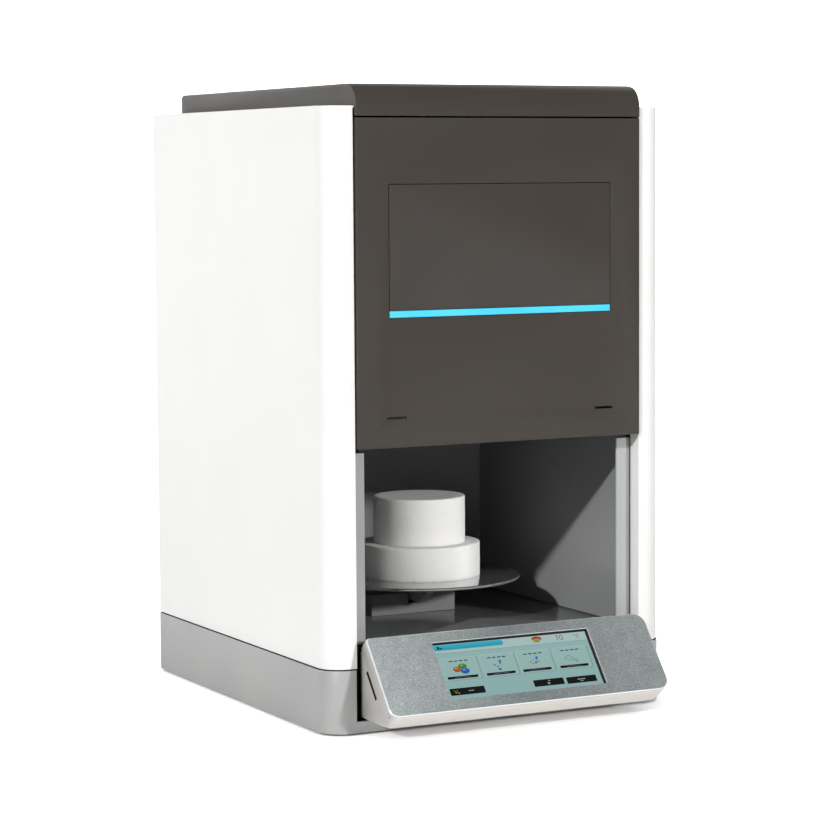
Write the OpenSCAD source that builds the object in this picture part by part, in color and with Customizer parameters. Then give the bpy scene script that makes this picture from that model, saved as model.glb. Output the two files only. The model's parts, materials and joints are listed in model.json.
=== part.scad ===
// Bottom-loading dental sintering furnace, built as separate pieces.
// Lengths are in mm and +Z is up. Depths are written from the front plane of the side panels (Y = 0)
// and from_front() moves them so that the part is centred on its outline.

/* [Body] */

// Width over the side panels
body_w = 356; // [350:1:364]
// Depth of the side panels
body_d = 397.3; // [392:0.1:404]
// Overall height
total_h = 584.8; // [580:0.1:592]
// How far the top cover stands above the side panels
cap_rise = 20; // [18:0.1:22]
// Sheet thickness of the side panels
sheet = 2; // [1.5:0.1:2.2]
// Radius of the two front corners
corner_r = 22.5; // [18:0.5:26]
// Width of each side panel's front flange
flange_w = 29; // [28:0.5:31]
// Depth of the hem behind each front flange
hem_d = 13; // [10:0.5:13]

/* [Base and feet] */

// Height of the seam between base and side panels
seam_z = 59.8; // [56:0.1:62]
// How far the base stands proud of the side panels
base_proud = 1.2; // [0.5:0.1:2]
// Wall and floor thickness of the base
base_wall = 3; // [2.5:0.1:4]
// Gap between the base and the table
foot_h = 2; // [1.5:0.5:4]
// Lower edge of the console opening in the base
base_open_z = 12.4; // [11:0.1:14]

/* [Covers] */

// Gap between the front cover and each flange
cover_gap = 1.5; // [1:0.1:2]
// How far the front cover stands in front of the side panels
cover_proud = 3.9; // [3.5:0.1:5]
// Lower edge of the front cover
cover_low_z = 258.8; // [257:0.1:260]
// Distance of the seam between the covers below the side panels' top edge
cap_skirt = 9.5; // [8:0.1:11]
// Radius of the top cover's front edge
cap_r = 20; // [16:0.5:20]
// Radius of the top cover's other edges
cap_edge_r = 3; // [2:0.5:4]

/* [Window] */

// Distance of the window recess from each side of the front cover
window_side = 31.8; // [30:0.1:36]
// Distance of the window recess below the seam between the covers
window_drop = 60.1; // [56:0.1:64]
// Height of the window recess
window_h = 119.8; // [114:0.1:124]
// Height of the accent strip below the window plate
strip_h = 6.3; // [5:0.1:8]
// Length of each slot low on the front cover
slot_l = 19.3; // [16:0.1:22]
// Height of each slot
slot_h = 2; // [1.5:0.1:2.5]

/* [Loading cavity] */

// Top of the cavity floor
floor_z = 75; // [74:0.1:76]
// Depth of the bay between the cavity and the rear of the body
rear_bay = 90.3; // [88:0.1:93]
// Distance of each post's inner edge from the flange's edge
post_w = 15.8; // [14:0.1:16.5]
// Front face of the posts
post_y = 14; // [13.5:0.1:15]
// Front face of the black sheet behind the console
frame_y = 19; // [18.6:0.1:20]

/* [Tray and plug] */

// Distance of the lift axis behind the front plane
axis_y = 163; // [161:0.5:165]
// Radius of the steel tray
tray_r = 97.8; // [94:0.1:100]
// Top of the tray in its lowest place
tray_z = 115.5; // [114:0.1:117]
// Thickness of the tray
tray_t = 3; // [2.5:0.1:4]
// Radius of the lower fibre disc
disc_r = 58.9; // [57:0.1:60]
// Height of the lower fibre disc
disc_h = 32.4; // [30:0.1:34]
// Radius of the fibre plug
plug_r = 44.6; // [42:0.1:45]
// Height of the fibre plug
plug_h = 45; // [42:0.5:46]

/* [Heating chamber] */

// Distance of the chamber case from each side of the body
case_side = 38; // [34:1:42]
// Distance of the chamber case below the side panels' top edge
case_drop = 19.8; // [17:0.1:24]
// Radius of the hot space
muffle_r = 62; // [60:0.5:66]
// Height of the hot space
muffle_h = 134; // [120:1:140]
// Thickness of a heating element's hot part
element_d = 6; // [5:0.5:7]
// Thickness of a heating element's terminal
terminal_d = 12; // [10:0.5:13]

/* [Lift] */

// Distance of the guide shafts in front of the body's rear
shaft_back = 49.3; // [47.5:0.1:51]
// Distance of each guide shaft from the middle
shaft_x = 45; // [42:0.5:48]
// Diameter of a guide shaft
shaft_d = 12; // [10:0.5:12]
// Thickness of the lift arm
arm_t = 8; // [6:0.5:9]
// Width of the low shroud under the tray
shroud_w = 92; // [88:1:96]
// Front face of the shroud
shroud_y = 176; // [172:1:178]

/* [Console] */

// How far the console reaches in front of the body
console_reach = 61.9; // [58:0.1:64]
// Height of the console plate's lower edge
plate_low_z = 26.3; // [25:0.1:28]
// Length of the console plate up its slope
plate_l = 81.4; // [79:0.1:82]
// Distance of each side of the console plate from the flange's edge
plate_side = 3; // [2.5:0.1:5]
// Angle of the console plate from level
plate_tilt = 51.4; // [50:0.1:53]
// Radius of the console plate's right-hand corners
plate_r = 12; // [8:0.5:14]
// Radius of the console plate's lower left corner
plate_low_r = 9; // [6:0.5:12]
// Radius of the console plate's upper left corner
plate_top_r = 4; // [3:0.5:8]
// Thickness of the console plate
plate_t = 1.6; // [1.2:0.1:2]
// Thickness of the console housing behind the plate
console_t = 21; // [19:0.5:22]
// Left edge of the screen
screen_x0 = -81.9; // [-84:0.1:-80]
// Right edge of the screen
screen_x1 = 78.4; // [76:0.1:80]
// Height of the screen up the slope
screen_h = 56.2; // [52:0.1:58]
// Depth of the screen below the plate
screen_sunk = 2; // [1.8:0.1:3]

/* [Rear] */

// Side length of the cooling fan
fan_w = 92; // [90:1:92]
// Distance of the fan's axis below the side panels' top edge
fan_drop = 134.8; // [126:0.1:142]
// Height of a louvre slot
louvre_h = 3.5; // [3:0.1:3.8]

/* [Fits] */

// Gap between pieces that touch or slide
gap = 0.3; // [0.25:0.05:0.4]
// Radial play of a shaft in its bore
play = 0.05; // [0.02:0.01:0.1]

/* [Hidden] */

mid_y = (body_d - console_reach) / 2;
half = body_w / 2;
base_half = half + base_proud;
flange_half = half - flange_w;
panel_top_z = total_h - cap_rise;
cap_seam_z = panel_top_z - cap_skirt;
cover_half = flange_half - cover_gap;
base_y1 = body_d - 2.5;
base_floor_z = foot_h + base_wall;
base_open_half = flange_half + 1;
rear_y = body_d - sheet;
rear_return = 15;
screw_inset = 8.5;
screw_first_z = 90;
screw_step = (panel_top_z - 24.8 - screw_first_z) / 3;
louvre_step = 7;
louvre_half = 22;

foot_x = half - 33;
foot_front_y = 38;
foot_rear_y = body_d - 45;
foot_r = 15;
foot_stud_r = 4;

deck_t = 1.5;
rail_x = half - 36;
rail_w = 10;
column_w = 16;
column_x = half - 10 - column_w;
column_y = frame_y + 7;
frame_t = 2;
frame_half = half - 13;
frame_foot_half = half - 43;
spacer_half = flange_half - 10;
housing_back_y = 7;

cavity_half = flange_half - 2;
cavity_back_y = body_d - rear_bay;
cavity_y0 = frame_y + frame_t + gap;
liner_t = 1.5;
post_t = 1.5;
post_lip = 2.5;
post_low_z = 80;
post_top_z = cover_low_z - 4.8;

cover_face_t = cover_proud - 0.4;
cover_return_t = 2;
cover_back_y = frame_y - gap;
window_half = cover_half - window_side;
window_top_z = cap_seam_z - window_drop;
window_low_z = window_top_z - window_h;
window_depth = 2;
groove = 0.5;
slot_z = cover_low_z + 25.8;
slot_x = window_half - 16.8;

plate_z = cover_low_z + 0.2;
chamber_floor_t = 3;
chamber_floor_half = half - 8;
chamber_floor_y1 = cavity_back_y + 15;
case_z = plate_z + chamber_floor_t;
case_t = 1.5;
case_half = half - case_side;
case_y0 = frame_y + 5;
case_back_y = cavity_back_y - 5;
case_top_z = panel_top_z - case_drop;
case_inner_z = case_top_z - case_t;
block_gap = 0.2;
block_half = case_half - case_t - block_gap;
block_y0 = case_y0 + case_t + block_gap;
block_y1 = case_back_y - case_t - block_gap;

lift_travel = 143;
disc_top_z = tray_z + disc_h;
plug_top_z = disc_top_z + plug_h;
seat_z = disc_top_z + lift_travel + gap;
hearth_z = plug_top_z + lift_travel;
muffle_top_z = hearth_z + muffle_h;
bore_r = plug_r + 1.4;
seat_r = disc_r + 2.1;
element_circle = muffle_r - 9;
element_span = 25;
holder_w = 20;
holder_h = 12;
clamp_h = 10;
terminal_top_z = case_top_z + 30;
probe_r = 4;

tray_edge = 0.8;
fibre_edge = 1;
hub_r = 40;
hub_h = 6;
hub_z = tray_z - tray_t - hub_h;
arm_low_z = 88.4;
arm_nose_y = axis_y - 22;
arm_nose_h = 4;
shaft_y = body_d - shaft_back;
carriage_half = 62;
carriage_d = 32;
carriage_y0 = shaft_y - carriage_d / 2;
carriage_z = 80;
carriage_h = 36;
bushing_r = 10.5;
nut_r = 12;
nut_flange_r = 18;
nut_flange_t = 5;
screw_r = 6;
screw_end_r = 3;
motor_shaft_r = 2.5;
bracket_y1 = shaft_y + 30;
bracket_y0 = shaft_y - 20;
bracket_half = 68;
bracket_t = 8;
bracket_screw_x = 55;
bracket_screw_r = 2.5;
lower_bracket_z = 65.7;
upper_bracket_z = 276;
motor_plate_half = 30;
motor_plate_z = 46;
motor_plate_t = 4;
motor_w = 42;
motor_z = 9;
motor_boss_r = 11;
coupling_r = 9;
coupling_mid_z = 58;
spine_t = 5;
spine_foot_t = 4;
switch_w = 14;
switch_h = 10;
shroud_t = 1.5;
shroud_top_z = 96;
shroud_slit = arm_t + 3;

supply_half = half - 48;
board_half = half - 38;
board_y = body_d - 197.3;

plate_w = 2 * (flange_half - plate_side);
slab_half_back = plate_w / 2 - 4;
screen_y0 = 12.2;
display_t = 2.2;
bezel_t = 5;
bezel_w = 7.7;
card_slot_l = 29;
card_slot_h = 2.2;

fan_t = 25;
fan_bore_r = fan_w / 2 - 3;
fan_z = panel_top_z - fan_drop;
fan_hole_x = fan_w / 2 - 4.75;
fan_hub_r = 18;
fan_strut = 5;
blade_t = 2;
inlet_x1 = half - 30;
inlet_x0 = inlet_x1 - 126;
inlet_z0 = 10;
inlet_z1 = 56;
inlet_floor_y = base_y1 - 11;
inlet_mid_x = inlet_x1 - 35;
switch_mid_x = inlet_x0 + 38;
socket_mid_z = 32;

white = [0.93, 0.93, 0.92];
pale_grey = [0.80, 0.79, 0.76];
dark_grey = [0.30, 0.28, 0.26];
black = [0.08, 0.08, 0.08];
steel = [0.66, 0.67, 0.68];
fibre = [0.95, 0.94, 0.90];
alloy = [0.60, 0.62, 0.62];
board_green = [0.10, 0.30, 0.18];
accent = [0.25, 0.75, 0.93];

// Shared shapes

module from_front() {
    translate([0, -mid_y, 0]) children();
}

module both_sides() {
    children();
    mirror([1, 0, 0]) children();
}

module box(x0, x1, y0, y1, z0, z1) {
    translate([x0, y0, z0]) cube([x1 - x0, y1 - y0, z1 - z0]);
}

module rod(x, y, z0, z1, r) {
    translate([x, y, z0]) cylinder(r = r, h = z1 - z0, $fn = 48);
}

// A rod along Y
module rod_y(x, y0, y1, z, r) {
    translate([x, y1, z]) rotate([90, 0, 0]) cylinder(r = r, h = y1 - y0, $fn = 48);
}

// Outline seen from above with large front corners and small rear corners
module plan(w, y0, y1, front_r, rear_r) {
    for (s = [-1, 1]) {
        translate([s * (w - front_r), y0 + front_r]) circle(r = front_r, $fn = 96);
        translate([s * (w - rear_r), y1 - rear_r]) circle(r = rear_r, $fn = 48);
    }
    translate([-w + front_r, y0]) square([2 * (w - front_r), front_r]);
    translate([-w, y0 + front_r]) square([2 * w, y1 - y0 - front_r - rear_r]);
    translate([-w + rear_r, y1 - rear_r]) square([2 * (w - rear_r), rear_r]);
}

module rounded_rect(w, h, r) {
    for (x = [r, w - r], y = [r, h - r]) {
        translate([x, y]) circle(r = r, $fn = 64);
    }
    translate([r, 0]) square([w - 2 * r, h]);
    translate([0, r]) square([w, h - 2 * r]);
}

// A profile drawn as (Y, Z) points, extruded from x0 to x1
module side_profile(points, x0, x1) {
    translate([x0, 0, 0]) rotate([90, 0, 90]) linear_extrude(height = x1 - x0) polygon(points);
}

// Base and frame

module base_plinth() {
    color(pale_grey) from_front() difference() {
        translate([0, 0, foot_h]) linear_extrude(height = seam_z - foot_h) {
            plan(base_half, -base_proud, base_y1, corner_r + base_proud, 3);
        }
        translate([0, 0, base_floor_z]) linear_extrude(height = seam_z) {
            plan(base_half - base_wall, base_wall - base_proud, base_y1 - base_wall,
                 corner_r + base_proud - base_wall, 1);
        }
        box(-base_open_half, base_open_half, -base_proud - 1, base_wall, base_open_z, seam_z + 1);
        box(inlet_x0 - 2, inlet_x1 + 2, base_y1 - base_wall - 1, base_y1 + 1, inlet_z0 - 2, inlet_z1 + 1);
        foot_places() translate([0, 0, foot_h - 1]) cylinder(r = foot_stud_r, h = base_wall + 2, $fn = 48);
        base_vents();
    }
}

// Two rows of slots in the floor
module base_vents() {
    vent_half = 8;
    for (x = [-120 : 30 : 120], y = [170, 240]) {
        box(x - vent_half, x + vent_half, y, y + louvre_h, foot_h - 1, base_floor_z + 1);
    }
}

module foot_places() {
    for (x = [-foot_x, foot_x], y = [foot_front_y, foot_rear_y]) {
        translate([x, y, 0]) children();
    }
}

module rubber_feet() {
    head_r = foot_stud_r + 2;
    head_h = 2;
    color(black) from_front() foot_places() {
        cylinder(r = foot_r, h = foot_h, $fn = 64);
        cylinder(r = foot_stud_r - play, h = base_floor_z + head_h, $fn = 48);
        translate([0, 0, base_floor_z]) cylinder(r = head_r, h = head_h, $fn = 48);
    }
}

// Black sheet behind the console that also carries the cavity floor
module bulkhead() {
    y1 = frame_y + frame_t;
    top = floor_z - deck_t;
    spacer_z = base_floor_z + 14;
    color(black) from_front() {
        box(-frame_half, frame_half, frame_y, y1, base_floor_z, top);
        both_sides() box(flange_half - post_w, frame_half, frame_y, y1, top, post_low_z + 6);
        box(-frame_foot_half, frame_foot_half, frame_y, frame_y + 12, base_floor_z, base_floor_z + 2);
        difference() {
            box(-spacer_half, spacer_half, housing_back_y + gap, frame_y + 0.1, spacer_z, top - 4);
            box(-spacer_half + frame_t, spacer_half - frame_t, housing_back_y - 1, frame_y - 1,
                spacer_z + frame_t, top - 4 - frame_t);
        }
    }
}

module deck_rails() {
    top = floor_z - deck_t;
    color(steel) from_front() both_sides() {
        box(rail_x, rail_x + rail_w, cavity_y0, cavity_back_y + 15, top - rail_w, top);
    }
}

module columns() {
    wall = 2;
    x1 = column_x + column_w;
    color(steel) from_front() both_sides() {
        for (y = [column_y, cavity_back_y - 7]) {
            difference() {
                box(column_x, x1, y, y + column_w, base_floor_z, plate_z);
                box(column_x + wall, x1 - wall, y + wall, y + column_w - wall,
                    base_floor_z - 1, plate_z + 1);
            }
        }
    }
}

// Side, rear and top sheets

module panel_outline() {
    difference() {
        plan(half, 0, body_d, corner_r, 3);
        plan(half - sheet, sheet, body_d - sheet, corner_r - sheet, 1);
        translate([-flange_half, -1]) square([2 * flange_half, body_d / 2]);
        translate([-half + rear_return, body_d / 2]) square([body_w - 2 * rear_return, body_d]);
        translate([-half - 1, -1]) square([half + 1, body_d + 2]);
    }
    translate([flange_half, 0]) square([sheet, hem_d]);
}

module side_panel() {
    difference() {
        union() {
            translate([0, 0, seam_z]) linear_extrude(height = panel_top_z - seam_z) panel_outline();
            translate([0, 0, panel_top_z - sheet]) linear_extrude(height = sheet) difference() {
                plan(half, 0, body_d, corner_r, 3);
                translate([-half - 1, -1]) square([half + 1 + cover_half, body_d + 2]);
            }
        }
        screw_places() {
            rod_y(0, -20, 1, 0, 2.1);
            translate([0, 0.01, 0]) rotate([90, 0, 0]) cylinder(r1 = 3.8, r2 = 2.1, h = 1.7, $fn = 48);
        }
    }
}

// Each place is on the rear face of the right-hand panel's return
module screw_places() {
    for (i = [0 : 3]) {
        translate([half - screw_inset, body_d, screw_first_z + i * screw_step]) children();
    }
}

module left_side_panel() {
    color(white) from_front() mirror([1, 0, 0]) side_panel();
}

module right_side_panel() {
    color(white) from_front() side_panel();
}

module panel_screws() {
    color(steel) from_front() both_sides() screw_places() {
        rod_y(0, -12, -0.2, 0, 2);
        translate([0, -0.2, 0]) rotate([90, 0, 0]) cylinder(r1 = 3.5, r2 = 2, h = 1.5, $fn = 48);
    }
}

module rear_panel() {
    panel_half = half - sheet - 1;
    y0 = rear_y - sheet - 1;
    low_louvre_z = 90;
    high_louvre_z = fan_z + fan_w / 2 + 12;
    color(white) from_front() difference() {
        box(-panel_half, panel_half, rear_y - sheet, rear_y, seam_z + 0.2, panel_top_z - sheet - gap);
        rod_y(0, y0, rear_y + 1, fan_z, fan_bore_r);
        for (x = [-120, -60, 60, 120], i = [0 : 7]) {
            louvre(x, high_louvre_z + i * louvre_step);
        }
        for (x = [-120, -60, 0, 60, 120], i = [0 : 5]) {
            louvre(x, low_louvre_z + i * louvre_step);
        }
        both_sides() screw_places() rod_y(0, -20, 1, 0, 2.1);
        fan_screw_places() rod_y(0, y0, rear_y + 1, 0, 2.2);
    }
}

module louvre(x, z) {
    box(x - louvre_half, x + louvre_half, rear_y - sheet - 1, rear_y + 1, z, z + louvre_h);
}

module fan_screw_places() {
    for (x = [-fan_hole_x, fan_hole_x], z = [-fan_hole_x, fan_hole_x]) {
        translate([x, 0, fan_z + z]) children();
    }
}

module cap_side_outline(inset) {
    front = -cover_proud + inset;
    back = body_d - 4.4 - inset;
    top = total_h - inset;
    r = cap_r - inset;
    low = cap_seam_z + 0.5;
    intersection() {
        translate([front + r, top - r]) circle(r = r, $fn = 128);
        translate([front, low]) square([r, top - low]);
    }
    translate([front, low]) square([back - front, top - r - low]);
    translate([front + r, top - r]) square([back - front - 2 * r, r]);
    translate([back - r, top - r]) square([r - cap_edge_r, r]);
    translate([back - cap_edge_r, top - r]) square([cap_edge_r, r - cap_edge_r]);
    translate([back - cap_edge_r, top - cap_edge_r]) circle(r = cap_edge_r, $fn = 48);
}

module cap_front_outline(inset) {
    w = cover_half - inset;
    top = total_h - inset;
    low = cap_seam_z - 10;
    r = cap_edge_r;
    translate([-w, low]) square([2 * w, top - r - low]);
    translate([-w + r, low]) square([2 * w - 2 * r, top - low]);
    for (s = [-1, 1]) {
        translate([s * (w - r), top - r]) circle(r = r, $fn = 48);
    }
}

module cap_solid(inset) {
    intersection() {
        translate([-half, 0, 0]) rotate([90, 0, 90]) linear_extrude(height = body_w) {
            cap_side_outline(inset);
        }
        translate([0, body_d, 0]) rotate([90, 0, 0]) linear_extrude(height = body_d + 20) {
            cap_front_outline(inset);
        }
    }
}

module top_cover() {
    wall = 2;
    skirt_half = cover_half - gap;
    back = body_d - 4.4;
    color(dark_grey) from_front() difference() {
        cap_solid(0);
        translate([0, 0, -0.01]) cap_solid(wall);
        both_sides() box(skirt_half, half, -0.4, body_d, cap_seam_z - 1, panel_top_z);
        box(-skirt_half + wall, skirt_half - wall, wall, back - 3.6, cap_seam_z, panel_top_z);
    }
    color(dark_grey) from_front() both_sides() {
        box(skirt_half - wall, skirt_half, 0, back, cap_seam_z + 0.5, panel_top_z + wall);
    }
}

// Front cover with its window

module front_cover() {
    top = cap_seam_z - 0.2;
    y0 = -cover_proud;
    y1 = y0 + cover_face_t;
    color(dark_grey) from_front() {
        difference() {
            box(-cover_half, cover_half, y0, y1, cover_low_z, top);
            box(-window_half, window_half, y0 - 1, y0 + window_depth, window_low_z, window_top_z);
            both_sides() translate([slot_x, y0 - 1, slot_z]) {
                cube([slot_l, cover_face_t + 2, slot_h]);
            }
        }
        both_sides() box(cover_half - cover_return_t, cover_half, y1 - 0.2, cover_back_y, cover_low_z, top);
        box(-cover_half, cover_half, y1 - 0.2, cover_back_y, top - cover_return_t, top);
    }
}

module window_plate() {
    color(dark_grey) from_front() {
        translate([0, -cover_proud + window_depth, 0]) rotate([90, 0, 0]) {
            linear_extrude(height = window_depth) {
                translate([-window_half + groove, window_low_z + strip_h + groove]) {
                    rounded_rect(2 * (window_half - groove),
                                 window_top_z - window_low_z - strip_h - 2 * groove, 1);
                }
            }
        }
    }
}

module accent_strip() {
    color(accent) from_front() {
        box(-window_half + groove, window_half - groove, -cover_proud + 0.3,
            -cover_proud + window_depth, window_low_z + 0.3, window_low_z + strip_h);
    }
}

// Loading cavity

module post() {
    inner = flange_half - post_w;
    outer = cavity_half + 0.7;
    back = frame_y - gap;
    box(inner, outer, post_y, post_y + post_t, post_low_z, post_top_z);
    box(inner, inner + post_t, post_y, post_y + post_lip, post_low_z, post_top_z);
    box(outer - post_t, outer, post_y, back, post_low_z, post_top_z);
}

module front_posts() {
    color(alloy) from_front() both_sides() post();
}

module cavity_liner() {
    w = cavity_half + liner_t;
    back = cavity_back_y + liner_t;
    slot_half = arm_t / 2 + 2;
    color(dark_grey) from_front() difference() {
        box(-w, w, cavity_y0, back, floor_z, plate_z);
        box(-cavity_half, cavity_half, frame_y, cavity_back_y, floor_z - 1, plate_z + 1);
        box(-slot_half, slot_half, cavity_back_y - 1, back + 1, arm_low_z - 4, plate_z - 3);
    }
}

module cavity_floor() {
    inner = flange_half - post_w - gap;
    w = cavity_half + liner_t;
    color(dark_grey) from_front() {
        box(-inner, inner, housing_back_y + 2, cavity_y0 + 1, floor_z - deck_t, floor_z);
        box(-w, w, cavity_y0, cavity_back_y + liner_t, floor_z - deck_t, floor_z);
    }
}

// Low cover over the arm's channel, with a slit for the arm
module lift_shroud() {
    w = shroud_w / 2;
    back = cavity_back_y - gap;
    color(dark_grey) from_front() difference() {
        box(-w, w, shroud_y, back, floor_z, shroud_top_z);
        box(-w + shroud_t, w - shroud_t, shroud_y + shroud_t, back + 1,
            floor_z - 1, shroud_top_z - shroud_t);
        box(-shroud_slit / 2, shroud_slit / 2, shroud_y - 1, back + 1,
            arm_low_z - 3, shroud_top_z + 1);
    }
}

// Tray and lift

module tray_disc() {
    r = tray_r;
    low_r = tray_r - tray_edge;
    color(steel) from_front() translate([0, axis_y, tray_z - tray_t]) {
        cylinder(r1 = low_r, r2 = r, h = tray_edge, $fn = 160);
        translate([0, 0, tray_edge]) cylinder(r = r, h = tray_t - 2 * tray_edge, $fn = 160);
        translate([0, 0, tray_t - tray_edge]) cylinder(r1 = r, r2 = low_r, h = tray_edge, $fn = 160);
    }
}

module tray_hub() {
    color(alloy) from_front() rod(0, axis_y, hub_z, hub_z + hub_h, hub_r);
}

module fibre_round(r, h) {
    cylinder(r = r, h = h - fibre_edge, $fn = 128);
    translate([0, 0, h - fibre_edge]) cylinder(r1 = r, r2 = r - fibre_edge, h = fibre_edge, $fn = 128);
}

module lower_fibre_disc() {
    color(fibre) from_front() translate([0, axis_y, tray_z]) fibre_round(disc_r, disc_h);
}

module fibre_plug() {
    color(fibre) from_front() translate([0, axis_y, disc_top_z]) fibre_round(plug_r, plug_h);
}

module lift_arm() {
    nose_z = hub_z - 2.5;
    color(alloy) from_front() side_profile([
        [arm_nose_y, nose_z - arm_nose_h],
        [arm_nose_y, nose_z],
        [arm_nose_y + 6, hub_z],
        [carriage_y0, hub_z],
        [carriage_y0, arm_low_z],
        [arm_nose_y + 14.5, arm_low_z]
    ], -arm_t / 2, arm_t / 2);
}

module lift_carriage() {
    top = carriage_z + carriage_h;
    color(alloy) from_front() difference() {
        box(-carriage_half, carriage_half, carriage_y0, carriage_y0 + carriage_d, carriage_z, top);
        for (x = [-shaft_x, shaft_x]) {
            rod(x, shaft_y, carriage_z - 1, top + 1, bushing_r);
        }
        rod(0, shaft_y, carriage_z - 1, top + 1, nut_r);
    }
}

module linear_bushings() {
    color(steel) from_front() for (x = [-shaft_x, shaft_x]) {
        difference() {
            rod(x, shaft_y, carriage_z + 1, carriage_z + carriage_h - 1, bushing_r);
            rod(x, shaft_y, carriage_z, carriage_z + carriage_h, shaft_d / 2 + play);
        }
    }
}

module lead_nut() {
    top = carriage_z + carriage_h;
    color([0.72, 0.55, 0.25]) from_front() difference() {
        union() {
            rod(0, shaft_y, carriage_z, top, nut_r);
            rod(0, shaft_y, top, top + nut_flange_t, nut_flange_r);
        }
        rod(0, shaft_y, carriage_z - 1, top + nut_flange_t + 1, screw_r + play);
    }
}

module guide_shafts() {
    color(steel) from_front() for (x = [-shaft_x, shaft_x]) {
        rod(x, shaft_y, lower_bracket_z, upper_bracket_z + bracket_t, shaft_d / 2);
    }
}

module lead_screw() {
    color(steel) from_front() {
        rod(0, shaft_y, coupling_mid_z, lower_bracket_z, screw_end_r);
        rod(0, shaft_y, lower_bracket_z - 0.5, upper_bracket_z + bracket_t + 4, screw_r);
    }
}

module screw_coupling() {
    low = motor_plate_z + motor_plate_t;
    color(alloy) from_front() difference() {
        rod(0, shaft_y, low + 1, lower_bracket_z - 0.7, coupling_r);
        rod(0, shaft_y, low, coupling_mid_z, motor_shaft_r + play);
        rod(0, shaft_y, coupling_mid_z - 0.1, lower_bracket_z, screw_end_r + play);
    }
}

module motor_shaft() {
    color(steel) from_front() {
        rod(0, shaft_y, motor_plate_z - 8, coupling_mid_z - 0.5, motor_shaft_r);
    }
}

module lift_motor() {
    top = motor_plate_z;
    w = motor_w / 2;
    color(black) from_front() difference() {
        union() {
            intersection() {
                box(-w, w, shaft_y - w, shaft_y + w, motor_z, top);
                rod(0, shaft_y, motor_z, top, motor_w * 0.64);
            }
            rod(0, shaft_y, top, top + 2, motor_boss_r);
        }
        rod(0, shaft_y, top - 8.2, top + 3, motor_shaft_r + play);
    }
}

module motor_plate() {
    top = motor_plate_z + motor_plate_t;
    color(steel) from_front() difference() {
        box(-motor_plate_half, motor_plate_half, shaft_y - 24, bracket_y1, motor_plate_z, top);
        rod(0, shaft_y, motor_plate_z - 1, top + 1, motor_boss_r + play);
    }
}

// Plates that hold the ends of shafts and screw
module lift_brackets() {
    screw_l = 12;
    color(alloy) from_front() for (z = [lower_bracket_z, upper_bracket_z]) difference() {
        box(-bracket_half, bracket_half, bracket_y0, bracket_y1, z, z + bracket_t);
        for (x = [-shaft_x, shaft_x]) {
            rod(x, shaft_y, z - 1, z + bracket_t + 1, shaft_d / 2 + play);
        }
        rod(0, shaft_y, z - 1, z + bracket_t + 1, screw_r + play);
        for (x = [-bracket_screw_x, bracket_screw_x]) {
            rod_y(x, bracket_y1 - screw_l, bracket_y1 + 1, z + bracket_t / 2, bracket_screw_r + play);
        }
    }
}

module lift_spine() {
    top = upper_bracket_z + bracket_t + 12;
    low = base_floor_z;
    foot_x0 = motor_w / 2 + 4;
    y1 = bracket_y1 + spine_t;
    color(steel) from_front() difference() {
        union() {
            box(-bracket_half, bracket_half, bracket_y1, y1, low, top);
            both_sides() {
                box(foot_x0, bracket_half, bracket_y0, bracket_y1 + 1, low, low + spine_foot_t);
            }
        }
        bracket_screw_places() rod_y(0, bracket_y1 - 1, y1 + 1, 0, bracket_screw_r + 0.1);
        box(inlet_x0 - 6, bracket_half + 1, bracket_y1, y1 + 1, low + 3, inlet_z1 + 4);
    }
}

module bracket_screw_places() {
    for (x = [-bracket_screw_x, bracket_screw_x], z = [lower_bracket_z, upper_bracket_z]) {
        translate([x, 0, z + bracket_t / 2]) children();
    }
}

module bracket_screws() {
    head_r = 4.25;
    head_h = 5;
    socket_r = 2;
    y1 = bracket_y1 + spine_t;
    color(steel) from_front() bracket_screw_places() {
        rod_y(0, bracket_y1 - 11, y1, 0, bracket_screw_r);
        difference() {
            rod_y(0, y1, y1 + head_h, 0, head_r);
            rod_y(0, y1 + head_h / 2, y1 + head_h + 1, 0, socket_r);
        }
    }
}

// Switches that end the travel, on the spine beside the carriage
module limit_switches() {
    x0 = -bracket_half + 1;
    y0 = carriage_y0 + carriage_d + 4;
    color(black) from_front() for (z = [carriage_z + 4, carriage_z + lift_travel + 18]) {
        box(x0, x0 + 2, shaft_y - 8, bracket_y1, z, z + switch_h);
        box(x0, x0 + switch_w, y0, bracket_y1, z, z + switch_h);
    }
}

// Heating chamber

module chamber_plate() {
    w = chamber_floor_half;
    color(dark_grey) from_front() difference() {
        box(-w, w, frame_y, chamber_floor_y1, plate_z, case_z);
        rod(0, axis_y, plate_z - 1, case_z + 1, seat_r + 1);
    }
}

module chamber_case() {
    color(steel) from_front() difference() {
        box(-case_half, case_half, case_y0, case_back_y, case_z, case_top_z);
        box(-case_half + case_t, case_half - case_t, case_y0 + case_t, case_back_y - case_t,
            case_z - 1, case_inner_z);
        element_places() translate([0, 0, case_inner_z - 1]) {
            cylinder(r = terminal_d / 2 + 1, h = case_t + 2, $fn = 48);
        }
        rod(0, axis_y, case_inner_z - 1, case_top_z + 1, probe_r + 2);
    }
}

module block(z0, z1) {
    box(-block_half, block_half, block_y0, block_y1, z0, z1);
}

module seat_insulation() {
    color(fibre) from_front() difference() {
        block(case_z, seat_z);
        rod(0, axis_y, case_z - 1, seat_z + 1, seat_r);
    }
}

module lower_insulation() {
    color(fibre) from_front() difference() {
        block(seat_z, hearth_z);
        rod(0, axis_y, seat_z - 1, hearth_z + 1, bore_r);
    }
}

module middle_insulation() {
    color(fibre) from_front() difference() {
        block(hearth_z, muffle_top_z);
        rod(0, axis_y, hearth_z - 1, muffle_top_z + 1, muffle_r);
    }
}

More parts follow.
